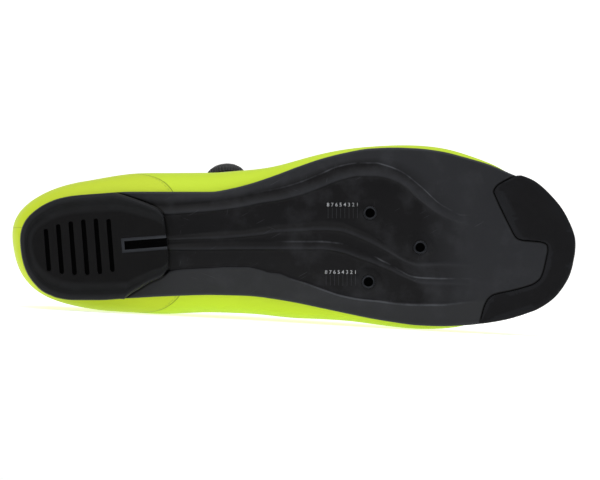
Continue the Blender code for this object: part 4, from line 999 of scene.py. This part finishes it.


# %% [markdown]
# ## The padded collar
# Inside the rim of the heel a roll of foam under soft cloth holds the ankle. It is a cushion,
# so it is a crowned closed form: an oval section that follows the rim just inside the wall and
# tapers to nothing at both ends.

# %% Run the roll round the collar
WALL, ROLL_STEPS, ROLL_SIDES = 2.0 * MM, 60, 16
ROLL_HIGH, ROLL_THICK, ROLL_DROP = 6.5 * MM, 2.6 * MM, 6.2 * MM
collar_path, collar_wide = [], []
for i in range(ROLL_STEPS + 1):
    t = -1 + 2 * i / ROLL_STEPS
    share = 0.345 * abs(t) ** 1.25
    spot = rim_spot(share, -1 if t < 0 else 1)
    collar_path.append(spot)
    collar_wide.append(max(0.06, 1 - abs(t) ** 5))
collar_rows = []
for i, spot in enumerate(collar_path):
    ahead = (collar_path[min(i + 1, ROLL_STEPS)] - collar_path[max(i - 1, 0)]).normalized()
    toward = Vector((SOLE_LENGTH * 0.155, 0.006 * BALL_WIDTH, spot.z - 30 * MM)) - spot
    toward = (toward - toward.dot(ahead) * ahead)
    flat = Vector((toward.x, toward.y, 0))
    flat = (flat - flat.dot(ahead) * ahead).normalized()
    down = ahead.cross(flat).normalized()
    if down.z > 0:
        down = -down
    grow = collar_wide[i]
    ring = []
    for k in range(ROLL_SIDES):
        a = 2 * math.pi * k / ROLL_SIDES
        high = ROLL_HIGH * grow * math.sin(a)
        thick = ROLL_THICK * grow * math.cos(a) * (1.0 if math.cos(a) > 0 else 0.55)
        ring.append(spot + (WALL + 1.2 * MM * grow) * flat * 0.9 + ROLL_DROP * down
                    + thick * flat - high * down)
    collar_rows.append(ring)
collar, along, aside = grid_of("padded_collar", ROLL_STEPS, ROLL_SIDES)
collar.data.vertices.foreach_set("co", np.array(
    [collar_rows[a][b % ROLL_SIDES] for a, b in zip(along, aside)]).ravel())
with editing(collar):
    bpy.ops.mesh.remove_doubles(threshold=0.01 * MM)
    bpy.ops.mesh.select_mode(type="EDGE")
    bpy.ops.mesh.select_all(action="DESELECT")
    bpy.ops.mesh.select_non_manifold(extend=False)
    bpy.ops.mesh.edge_face_add()
    bpy.ops.mesh.select_all(action="SELECT")
    bpy.ops.mesh.normals_make_consistent(inside=False)
weigh(collar)
shaped(collar, "SUBSURF", levels=1, render_levels=1)
bpy.context.view_layer.objects.active = collar
bpy.ops.object.shade_smooth()
lay_down(collar, "tongue_fabric")


# %% [markdown]
# ## The tongue and the footbed
# The tongue is thin foam between two cloths with a round free end, and it lies under the lace.
# The footbed is moulded foam with a woven top. Both are copies of their solids, rounded.

# %% Tongue and footbed
tongue = standing_copy("tongue", "padded_tongue")
creased(tongue, 75)
shaped(tongue, "SUBSURF", levels=1, render_levels=1)
# The free end is cut to a round: its width shrinks over the last stretch, along its own arch.
TONGUE_ROUND, TONGUE_ARCH = 14 * MM, 7 * MM
x, y, z = coordinates(tongue).T
near_end = np.clip(1 - (x - x.min()) / TONGUE_ROUND, 0, 1)
narrow = np.sqrt(1 - 0.75 * near_end**3)
middle, half = (y.min() + y.max()) / 2, (y.max() - y.min()) / 2
z = z + TONGUE_ARCH * ((y - middle) / half) ** 2 * (1 - narrow**2)
y = middle + (y - middle) * narrow
tongue.data.vertices.foreach_set("co", np.stack([x, y, z], 1).ravel())
shaped(
    tongue, "BEVEL", width=0.9 * MM, segments=3, limit_method="ANGLE",
    angle_limit=math.radians(55))
shaped(tongue, "SUBSURF", levels=1, render_levels=1)
bpy.ops.object.shade_smooth()
lay_down(tongue, "tongue_fabric", "tongue")
insole = standing_copy("insole", "moulded_footbed")
creased(insole, 60)
shaped(insole, "SUBSURF", levels=2, render_levels=2)
smooth(insole, 50)
lay_down(insole, "insole_foam", "insole")


# %% [markdown]
# ## The lace dial, its lace and its guides
# A turn of the dial winds a thin cord that runs through moulded guides. The knob is a low
# streamlined cap: its section is spun like the insert's, then flutes are pressed into its skirt
# for grip. The base, the guides and the anchor only need the small radius of moulded plastic,
# and the cord needs a round section.

# %% Where the dial stands
def level_axis(node):
    """Middle and axis of a round solid, and how far it reaches along that axis."""
    spots = np.array([tuple(STANDING @ v.co) for v in NODES[node].data.vertices])
    spots = np.unique(np.round(spots, 6), axis=0)
    middle = spots.mean(0)
    axis = np.linalg.eigh(np.cov((spots - middle).T))[1][:, 0]
    if axis @ (middle - np.array([middle[0], 0.001, 0.035])) < 0:
        axis = -axis
    reach = (spots - middle) @ axis
    return Vector(middle), Vector(axis), float(reach.min()), float(reach.max())


knob_middle, knob_axis, knob_low, knob_high = level_axis("dial_knob")
knob_tall = knob_high - knob_low
knob_wide = max(
    (
        STANDING @ v.co - knob_middle - (
            STANDING @ v.co - knob_middle).dot(knob_axis) * knob_axis).length
                for v in NODES["dial_knob"].data.vertices)
print("knob", round(2 * knob_wide / MM, 2), "mm wide and", round(knob_tall / MM, 2), "mm tall")
KNOB_PLACE = Matrix.Translation(knob_middle + knob_low * knob_axis) @ knob_axis.to_track_quat(
    "Z", "Y").to_matrix().to_4x4()

# %% Spin the knob and press its flutes
KNOB_SECTION = (
    (0, 0), (0.90, 0), (0.985, 0.06), (1.0, 0.14), (0.995, 0.34), (0.965, 0.50), (0.91, 0.62),
    (0.86, 0.70), (0.84, 0.71), (0.82, 0.73), (0.74, 0.85), (0.64, 0.93), (0.60, 0.945),
    (0.585, 0.91),
    (0.555, 0.91), (0.54, 0.955), (0.30, 0.99), (0, 1.0),
)
# The cap of the photograph stands a little higher and wider than its solid.
CAP_TALLER, CAP_WIDER = 1.24, 1.02
FLUTES, FLUTE_DEEP = 36, 0.028  # their number, and their depth as a share of the radius
knob_tall *= CAP_TALLER
knob_wide *= CAP_WIDER
knob = spun("fluted_knob", [(r * knob_wide, z * knob_tall) for r, z in KNOB_SECTION], 144)
for v in knob.data.vertices:
    far, turn = math.hypot(v.co.x, v.co.y), math.atan2(v.co.y, v.co.x)
    if far > 0.80 * knob_wide and 0.02 * knob_tall < v.co.z < 0.71 * knob_tall:
        press = 1 - FLUTE_DEEP * (0.5 + 0.5 * math.cos(FLUTES * turn)) ** 2
        v.co.x, v.co.y = v.co.x * press, v.co.y * press
knob.data.transform(KNOB_PLACE)
smooth(knob, 35)
lay_down(knob, "knob_plastic", "dial_knob")

# %% Base, guides and cord
for node, name, radius in (
        ("dial_base", "dial_housing", 0.5), ("guide_inner_low", "cord_guide_inner_low", 0.6),
        ("guide_inner_top", "cord_guide_inner_top", 0.6),
        ("guide_outer_top", "cord_guide_outer_top", 0.6), ("lace_anchor", "cord_anchor", 0.6)):
    part = standing_copy(node, name)
    shaped(part, "BEVEL", width=radius * MM, segments=3, limit_method="ANGLE",
           angle_limit=math.radians(38))
    smooth(part, 45)
    lay_down(part, "dial_plastic" if node == "dial_base" else "guide_plastic", node)
cord = standing_copy("lace", "woven_cord")
shaped(cord, "SUBSURF", levels=2, render_levels=2)
smooth(cord, 60)
lay_down(cord, "lace_cord", "lace")


# %% [markdown]
# ## The finishes
# Each finish starts from what the real material is and how its surface was made. A pattern
# reads the standing coordinates or another note of the mesh, so it follows the shoe. Two
# helpers draw what a shoemaker draws: a soft line, and a row of stitches.

# %% A soft line and a row of stitches
def line_at(finish, value, at, half, soft=0.4):
    """1 along a line where a value is `at`, fading to 0 beyond half the line's width."""
    off = add_node(finish, "Math", {0: value, 1: at}, operation="SUBTRACT")
    far = add_node(finish, "Math", {0: off}, operation="ABSOLUTE")
    return add_node(
        finish, "MapRange",
        {"Value": far, "From Min": half * (1 + soft), "From Max": half * (1 - soft)},
        interpolation_type="SMOOTHSTEP")


def stitches(finish, value, at, place, pitch=2.6 * MM, thread=0.34 * MM):
    """A row of stitches beside a seam: `place` runs along it."""
    run = add_node(finish, "Math", {0: place, 1: pitch}, operation="DIVIDE")
    step = add_node(finish, "Math", {0: run}, operation="FRACT")
    dash = line_at(finish, step, 0.5, 0.34, 0.2)
    row = line_at(finish, value, at, thread)
    return add_node(finish, "Math", {0: row, 1: dash}, operation="MULTIPLY")


# %% [markdown]
# ### Fibre-filled nylon of the plate
# Moulded nylon with short fibres comes out black with a satin skin that goes matter and greyer
# where it is handled, with cloudy smudges and a few fine scratches. The pressed panels and the
# grooves are painted near black, a painted shade in the recesses. The crests of the ribs and of
# the inner rail carry a painted highlight, the inner band is painted a shade paler as painted
# light from below, and the edge and the ball of the foot are paler.

# %% Fibre-filled nylon
nylon = new_finish("fibre_filled_nylon", IOR=1.5, Specular_IOR_Level=0.11)
# The mould's grain is about 0.1 mm; it is drawn at 0.7 mm so that it shows.
grain = add_node(
    nylon, "TexNoise", {"Vector": "standing", "Scale": 1 / (0.7 * MM), "Detail": 2.0})
cloud = add_node(
    nylon, "TexNoise",
    {"Vector": "standing", "Scale": 1 / (17 * MM), "Detail": 5.0, "Roughness": 0.6})
along_shoe = add_node(nylon, "SeparateXYZ", {0: "standing"}).outputs[0]
forefoot = add_node(
    nylon, "MapRange", {"Value": along_shoe, "From Min": 150 * MM, "From Max": 205 * MM},
    interpolation_type="SMOOTHSTEP")
# Painted light: the inner band is painted a shade paler, as the soft light from below would light
# its slope.
painted_band_light = add_node(
    nylon, "MapRange", {"Value": "inner_band", "From Min": 0.3 * MM, "From Max": 1.4 * MM})
# Painted shade: the deeper the press, the nearer to black the nylon is painted, in place of shade
# in the recesses.
pressed = add_node(nylon, "MapRange", {"Value": "pressed", "From Min": 0.05, "From Max": 0.50})
smudge = add_node(
    nylon, "MapRange", {"Value": cloud, "From Min": 0.50, "From Max": 0.74, "To Max": 0.26})
print("nodes for grain, cloud and presses", len(nylon.node_tree.nodes))

# %% Scratches of the nylon, and the painted highlight on its crests
# Each family of scratches: its turn, its length and width in millimetres, and how rare it is.
SCRATCHES = ((0.5, 11, 0.5, 0.845), (-0.35, 14, 0.5, 0.85), (1.4, 8, 0.45, 0.855))
scratch = None
for turn, long, wide, start in SCRATCHES:
    turned = add_node(nylon, "Mapping", {"Vector": "standing", "Rotation": (0, 0, turn)})
    drawn = add_node(
        nylon, "Mapping",
        {"Vector": turned, "Scale": (1 / (long * MM), 1 / (wide * MM), 1 / (20 * MM))})
    streak = add_node(nylon, "TexNoise", {"Vector": drawn, "Scale": 1.0, "Detail": 0.0})
    stroke = add_node(
        nylon, "MapRange", {"Value": streak, "From Min": start, "From Max": start + 0.04})
    scratch = stroke if scratch is None else add_node(
        nylon, "Math", {0: scratch, 1: stroke}, operation="MAXIMUM")
faint = add_node(nylon, "Math", {0: scratch, 1: 0.22}, operation="MULTIPLY")
edge = line_at(nylon, "edge_far", 0.2 * MM, 0.9 * MM)
# Painted shade: a black line along the joints with the toe bumper and the heel pad, where the gap
# would be in shade.
painted_joint_shade = line_at(nylon, "joint_far", 0, 0.95 * MM)
# Painted highlight: the crests of the ribs and of the inner rail are painted pale, where the roof
# light catches them.
painted_crest_highlight = line_at(nylon, "inner_band", 1.15 * MM, 0.45 * MM)
for name, at, half in (("keel_edge", 0.1 * MM, 0.4 * MM), ("rib_edge", -1.3 * MM, 0.35 * MM)):
    painted_crest_highlight = add_node(
        nylon, "Math", {0: painted_crest_highlight, 1: line_at(nylon, name, at, half)}, operation="MAXIMUM")
for value, start, end, most in (
        (along_shoe, 120 * MM, 165 * MM, 1.0), (cloud, 0.42, 0.62, 0.8),
        (along_shoe, 236 * MM, 222 * MM, 1.0)):
    part = add_node(
        nylon, "MapRange", {"Value": value, "From Min": start, "From Max": end, "To Max": most})
    painted_crest_highlight = add_node(nylon, "Math", {0: painted_crest_highlight, 1: part}, operation="MULTIPLY")

# %% One tone of the nylon over the other
tone = add_node(
    nylon, "Mix", {0: forefoot, 6: linear("#232427"), 7: linear("#222326")}, data_type="RGBA")
# The near black of the pressed recesses and the black joint line are painted shade; the paler
# inner band and the pale crests are painted light.
for amount, colour in (
        (painted_band_light, "#262729"), (pressed, "#0b0b0d"), (smudge, "#3b3c40"), (faint, "#585a5f"),
        (edge, "#2d2f32"), (painted_crest_highlight, "#44464a"), (painted_joint_shade, "#020202")):
    tone = add_node(nylon, "Mix", {0: amount, 6: tone, 7: linear(colour)}, data_type="RGBA")
gloss = add_node(
    nylon, "MapRange",
    {"Value": cloud, "From Min": 0.3, "From Max": 0.75, "To Min": 0.32, "To Max": 0.48})
height = add_node(nylon, "Math", {0: scratch, 1: -0.6, 2: grain}, operation="MULTIPLY_ADD")
relief = add_node(nylon, "Bump", {"Height": height, "Distance": 0.035 * MM, "Strength": 0.6})
feed(nylon, Base_Color=tone, Roughness=gloss, Normal=relief)

# %% [markdown]
# ### Rubber of the heel pad and the toe bumper
# Both are moulded rubber: blacker and matter than the nylon, with a fine even grain and edges
# that go grey where they touch the ground. The ledge round the pad's long slot is painted pale
# grey, and the pad's flat tread near black.

# %% Two rubbers, and the pale ledge
def moulded_rubber(name, deep, worn, wear, dull):
    rubber = new_finish(name, IOR=1.52, Specular_IOR_Level=0.09)
    # A sand-blasted mould leaves a grain of 0.2 mm, drawn at 0.8 mm.
    grain = add_node(
        rubber, "TexNoise", {"Vector": "standing", "Scale": 1 / (0.8 * MM), "Detail": 3.0})
    cloud = add_node(
        rubber, "TexNoise", {"Vector": "standing", "Scale": 1 / (13 * MM), "Detail": 4.0})
    crest = add_node(
        rubber, "MapRange",
        {"Value": add_node(rubber, "NewGeometry").outputs["Pointiness"],
         "From Min": 0.505, "From Max": 0.56, "To Max": wear})
    dust = add_node(
        rubber, "MapRange", {"Value": cloud, "From Min": 0.45, "From Max": 0.8, "To Max": 0.3})
    tired = add_node(rubber, "Math", {0: crest, 1: dust}, operation="ADD", use_clamp=True)
    tone = add_node(rubber, "Mix", {0: tired, 6: linear(deep), 7: linear(worn)}, data_type="RGBA")
    # The flat tread is painted near black.
    flat_tread_black = "tread"
    tone = add_node(
        rubber, "Mix", {0: flat_tread_black, 6: tone.outputs[2], 7: linear("#070708")}, data_type="RGBA")
    gloss = add_node(
        rubber, "MapRange",
        {
            "Value": cloud, "From Min": 0.3, "From Max": 0.7, "To Min": dull - 0.08,
            "To Max": dull + 0.08})
    relief = add_node(rubber, "Bump", {"Height": grain, "Distance": 0.06 * MM, "Strength": 0.7})
    feed(rubber, Base_Color=tone, Roughness=gloss, Normal=relief)
    return rubber


heel_rubber = moulded_rubber("moulded_heel_rubber", "#0e0f10", "#26272a", 0.7, 0.55)
toe_rubber = moulded_rubber("moulded_toe_rubber", "#0c0c0e", "#1b1c1f", 0.5, 0.62)
pale_ledge_rubber = moulded_rubber("scuffed_ledge_rubber", "#2b2d31", "#3a3c40", 0.5, 0.7)

# %% [markdown]
# ### Lime microfibre of the upper
# The upper is a thin synthetic suede under a film of tinted polyurethane. The eye gets a strong
# yellow-green with a satin gleam, a fine leather grain, raised panel edges with stitches beside
# them, a heel panel that is a little yellower, a field of small vents, and a dark mesh lining.

# %% Seams, stitches and vents of the lime microfibre
LIME, LIME_DEEP, LIME_HEEL, LIME_EDGE = "#C3DC2E", "#B9D42A", "#BCD02A", "#BED72C"
microfibre = new_finish("lime_microfibre", IOR=1.45, Specular_IOR_Level=0.25)
split = add_node(microfibre, "SeparateXYZ", {0: "standing"})
is_heel, is_edge = (
    add_node(
        microfibre, "MapRange", {"Value": name, "From Min": 0.25 * MM, "From Max": -0.25 * MM})
    for name in ("heel_seam", "edge_panel"))
raised = add_node(microfibre, "Math", {0: is_heel, 1: is_edge}, operation="MAXIMUM")
at_back = add_node(
    microfibre, "MapRange",
    {"Value": split.outputs[0], "From Min": 26 * MM, "From Max": 22 * MM, "To Max": 0.45})
back_line = line_at(microfibre, split.outputs[1], -8.8 * MM, 0.22 * MM)
seam = add_node(microfibre, "Math", {0: back_line, 1: at_back}, operation="MULTIPLY")
for name in ("edge_panel", "heel_seam"):
    seam = add_node(
        microfibre, "Math", {0: seam, 1: line_at(microfibre, name, 0.12 * MM, 0.2 * MM)},
        operation="MAXIMUM")
shaded = add_node(microfibre, "Math", {0: seam, 1: 0.65}, operation="MULTIPLY")
sewn = stitches(microfibre, "edge_panel", -1.7 * MM, "rim_place")
for row in (stitches(microfibre, "rim_far", 2.2 * MM, "rim_place"),
            stitches(microfibre, "heel_seam", -0.9 * MM, "heel_seam_place", 2.0 * MM, 0.22 * MM)):
    sewn = add_node(microfibre, "Math", {0: sewn, 1: row}, operation="MAXIMUM")
grid = add_node(microfibre, "CombineXYZ", {0: split.outputs[0], 1: "around"})
turned = add_node(microfibre, "Mapping", {"Vector": grid, "Rotation": (0, 0, math.radians(45))})
# Vents of 1.2 mm stand 4.2 mm apart.
holes = add_node(
    microfibre, "TexVoronoi", {"Vector": turned, "Scale": 1 / (4.2 * MM), "Randomness": 0.0},
    voronoi_dimensions="2D")
hole = add_node(microfibre, "MapRange", {"Value": holes, "From Min": 0.17, "From Max": 0.13})
vent_field = add_node(microfibre, "Math", {0: "vent", 1: 0.5}, operation="GREATER_THAN")
vents = add_node(microfibre, "Math", {0: hole, 1: vent_field}, operation="MULTIPLY")

# %% Tones, lining and relief of the lime microfibre
cloud = add_node(
    microfibre, "TexNoise", {"Vector": "standing", "Scale": 1 / (40 * MM), "Detail": 3.0})
# Leather grain has cells of 0.5 mm; they are drawn at 1.1 mm so that they show.
cells = add_node(microfibre, "TexVoronoi", {"Vector": "standing", "Scale": 1 / (1.1 * MM)})
fine = add_node(
    microfibre, "TexNoise", {"Vector": "standing", "Scale": 1 / (0.6 * MM), "Detail": 2.0})
tone = add_node(
    microfibre, "Mix", {0: cloud, 6: linear(LIME), 7: linear(LIME_DEEP)}, data_type="RGBA")
for amount, colour in (
        (is_heel, LIME_HEEL), (is_edge, LIME_EDGE), (sewn, "#A9C034"), (shaded, "#5c6818"),
        (vents, "#171812")):
    tone = add_node(microfibre, "Mix", {0: amount, 6: tone, 7: linear(colour)}, data_type="RGBA")
# The lining is a knitted mesh with eyes of 1.5 mm.
mesh_eyes = add_node(
    microfibre, "TexVoronoi",
    {"Vector": "standing", "Scale": 1 / (1.5 * MM), "Randomness": 0.25})
eye = add_node(microfibre, "MapRange", {"Value": mesh_eyes, "From Min": 0.2, "From Max": 0.55})
knit = add_node(
    microfibre, "Mix", {0: eye, 6: linear("#151517"), 7: linear("#2e2f33")}, data_type="RGBA")
skin = add_node(microfibre, "Mix", {0: "lining", 6: tone, 7: knit}, data_type="RGBA")
gloss = add_node(microfibre, "MapRange", {"Value": cloud, "To Min": 0.46, "To Max": 0.58})
dull = add_node(microfibre, "Math", {0: "lining", 1: 0.4, 2: gloss}, operation="MULTIPLY_ADD")
rise = cells
for value, lift in ((raised, 6.0), (sewn, 3.0), (seam, -4.0), (vents, -6.0), (fine, 0.5)):
    rise = add_node(microfibre, "Math", {0: value, 1: lift, 2: rise}, operation="MULTIPLY_ADD")
relief = add_node(microfibre, "Bump", {"Height": rise, "Distance": 0.05 * MM, "Strength": 0.8})
feed(microfibre, Base_Color=skin, Roughness=dull, Normal=relief)

# %% [markdown]
# ### Cloths
# The tongue and the collar are covered with a knitted mesh over foam, and the footbed with a
# tighter weave. Knit scatters light, so these are matt, with a little sheen along the edges.

# %% Knitted mesh and the footbed's weave
def knitted(name, pitch, deep, light, lift):
    cloth = new_finish(name, Sheen_Weight=0.12, Sheen_Roughness=0.5, Specular_IOR_Level=0.15)
    loops = add_node(
        cloth, "TexVoronoi", {"Vector": "standing", "Scale": 1 / pitch, "Randomness": 0.2})
    yarn = add_node(cloth, "TexNoise", {"Vector": "standing", "Scale": 4 / pitch, "Detail": 2.0})
    wear = add_node(
        cloth, "TexNoise", {"Vector": "standing", "Scale": 1 / (30 * MM), "Detail": 2.0})
    loop = add_node(cloth, "MapRange", {"Value": loops, "From Min": 0.15, "From Max": 0.6})
    tone = add_node(cloth, "Mix", {0: loop, 6: linear(deep), 7: linear(light)}, data_type="RGBA")
    faded = add_node(
        cloth, "MapRange", {"Value": wear, "From Min": 0.4, "From Max": 0.8, "To Max": 0.3})
    toned = add_node(cloth, "Mix", {0: faded, 6: tone, 7: linear("#4a4c52")}, data_type="RGBA")
    rough = add_node(cloth, "MapRange", {"Value": yarn, "To Min": 0.75, "To Max": 0.95})
    rise = add_node(cloth, "Math", {0: yarn, 1: 0.4, 2: loop}, operation="MULTIPLY_ADD")
    relief = add_node(cloth, "Bump", {"Height": rise, "Distance": lift, "Strength": 0.8})
    feed(cloth, Base_Color=toned, Roughness=rough, Normal=relief)
    return cloth


# Real knit loops are 0.8 mm; they are drawn at 1.6 mm so that they show.
knit_mesh = knitted("knitted_mesh_over_foam", 1.6 * MM, "#0e0e10", "#2a2b2f", 0.25 * MM)
footbed_weave = knitted("woven_footbed_top", 1.2 * MM, "#1b1c1f", "#3b3d42", 0.12 * MM)

# %% [markdown]
# ### Small hard parts
# The inserts are steel with a dark zinc plating. Dial housing and guides are nylon with a fine
# spark-eroded grain, and the knob is smoother and glossier. The cord is a woven polymer braid.

# %% Plated steel
plated = new_finish("black_zinc_plated_steel", Metallic=1.0)
tarnish = add_node(
    plated, "TexNoise", {"Vector": "standing", "Scale": 1 / (2.2 * MM), "Detail": 4.0})
tone = add_node(
    plated, "Mix", {0: tarnish, 6: linear("#1a1b1d"), 7: linear("#3a3c40")}, data_type="RGBA")
gloss = add_node(plated, "MapRange", {"Value": tarnish, "To Min": 0.28, "To Max": 0.5})
relief = add_node(plated, "Bump", {"Height": tarnish, "Distance": 0.02 * MM, "Strength": 0.5})
feed(plated, Base_Color=tone, Roughness=gloss, Normal=relief)


# %% Moulded plastics
def moulded_plastic(name, deep, light, dull, lift, shine=0.3):
    plastic = new_finish(name, IOR=1.5, Specular_IOR_Level=shine)
    # Spark-eroded grain is 0.1 mm fine; it is drawn at 0.45 mm.
    grain = add_node(
        plastic, "TexNoise", {"Vector": "standing", "Scale": 1 / (0.45 * MM), "Detail": 2.0})
    cloud = add_node(
        plastic, "TexNoise", {"Vector": "standing", "Scale": 1 / (7 * MM), "Detail": 3.0})
    tone = add_node(
        plastic, "Mix", {0: cloud, 6: linear(deep), 7: linear(light)}, data_type="RGBA")
    gloss = add_node(
        plastic, "MapRange", {"Value": cloud, "To Min": dull - 0.05, "To Max": dull + 0.08})
    relief = add_node(plastic, "Bump", {"Height": grain, "Distance": lift, "Strength": 0.6})
    feed(plastic, Base_Color=tone, Roughness=gloss, Normal=relief)
    return plastic


dial_nylon = moulded_plastic("spark_eroded_dial_nylon", "#151517", "#222326", 0.48, 0.03 * MM)
knob_acetal = moulded_plastic("satin_knob_acetal", "#101012", "#1c1c1f", 0.30, 0.008 * MM)
guide_nylon = moulded_plastic("moulded_guide_nylon", "#141416", "#242528", 0.42, 0.02 * MM)
print_ink = moulded_plastic("pad_printed_grey_ink", "#55575b", "#c4c6c9", 0.6, 0.01 * MM)
moulded_line = moulded_plastic("moulded_scale_line", "#161719", "#2e3034", 0.5, 0.01 * MM)
# Painted shade: a near-black finish that hardly reflects, put in the insert bores and in the deep
# faces of the pad slots, where shade falls.
painted_hole_shade = moulded_plastic("oiled_thread", "#010101", "#050506", 0.6, 0.02 * MM, 0.02)

# %% Woven cord
braid = new_finish("braided_polymer_cord", Specular_IOR_Level=0.25)
ways = []
for turn in (0.9, -0.9):
    turned = add_node(braid, "Mapping", {"Vector": "standing", "Rotation": (turn, turn, turn)})
    # A strand of the braid is 0.3 mm wide; it is drawn at 0.6 mm.
    ways.append(add_node(
        braid, "TexWave", {"Vector": turned, "Scale": 0.32 / (0.6 * MM), "Distortion": 0.4}))
strands = add_node(
    braid, "Math", {0: ways[0].outputs["Fac"], 1: ways[1].outputs["Fac"]}, operation="MAXIMUM")
tone = add_node(
    braid, "Mix", {0: strands, 6: linear("#111113"), 7: linear("#3c3d42")}, data_type="RGBA")
gloss = add_node(braid, "MapRange", {"Value": strands, "To Min": 0.7, "To Max": 0.45})
relief = add_node(braid, "Bump", {"Height": strands, "Distance": 0.1 * MM, "Strength": 0.8})
feed(braid, Base_Color=tone, Roughness=gloss, Normal=relief)

# %% Give every piece its finish
FINISHES = {
    "sole_plate": nylon, "heel_rubber_pad": heel_rubber, "toe_rubber_bumper": toe_rubber,
    "microfibre_upper": microfibre, "padded_collar": knit_mesh, "padded_tongue": knit_mesh,
    "moulded_footbed": footbed_weave, "threaded_insert": plated, "dial_housing": dial_nylon,
    "fluted_knob": knob_acetal, "cord_guide": guide_nylon, "cord_anchor": guide_nylon,
    "woven_cord": braid, "cleat_scale": print_ink,
}


def stands_at(piece, face):
    return STANDING @ (piece.matrix_world @ face.center)


def is_line(piece, face):
    """The lines of a scale lie beyond its numbers."""
    y = stands_at(piece, face).y / MM
    return -19.2 < y < -13 or 15.8 < y < 22


def in_bore(piece, face):
    """The bore of an insert, from just under its lip to its floor."""
    spot = stands_at(piece, face)
    place_x, place_y = BOLTS[piece.name.rsplit("_", 1)[1]]
    far = math.hypot(spot.x - SOLE_LENGTH * place_x, spot.y - BALL_WIDTH * place_y)
    return far < BORE + 0.05 * MM


def in_slot(face):
    """The lower walls and the floor of a slot in the pad, where the painted shade goes."""
    spot, facing = STANDING @ face.center, LAID.inverted().to_3x3() @ face.normal
    inside = 10 * MM < spot.x < PAD_FRONT - 0.5 * MM and abs(spot.y - 1 * MM) < 15.5 * MM
    return inside and (spot.z > 2.8 * MM or abs(facing.z) < 0.3)


for piece in bpy.data.objects:
    for start, finish in FINISHES.items():
        if piece.type == "MESH" and piece.name.startswith(start):
            piece.data.materials.clear()
            piece.data.materials.append(finish)
pad.data.materials.append(pale_ledge_rubber)
pad.data.materials.append(painted_hole_shade)
# Painted shade: the deep faces of the slots take the near-black finish.
for face in pad.data.polygons:
    if (STANDING @ face.center).z > 1.6 * MM and in_slot(face):
        face.material_index = 2
for index in ledge:
    pad.data.polygons[index].material_index = 1
for piece in bpy.data.objects:
    if piece.name.startswith("cleat_scale"):
        piece.data.materials.append(moulded_line)
        for face in piece.data.polygons:
            face.material_index = int(is_line(piece, face))
    elif piece.name.startswith("threaded_insert"):
        piece.data.materials.append(painted_hole_shade)
        # Painted shade: the bore takes the near-black finish.
        for face in piece.data.polygons:
            face.material_index = int(in_bore(piece, face))
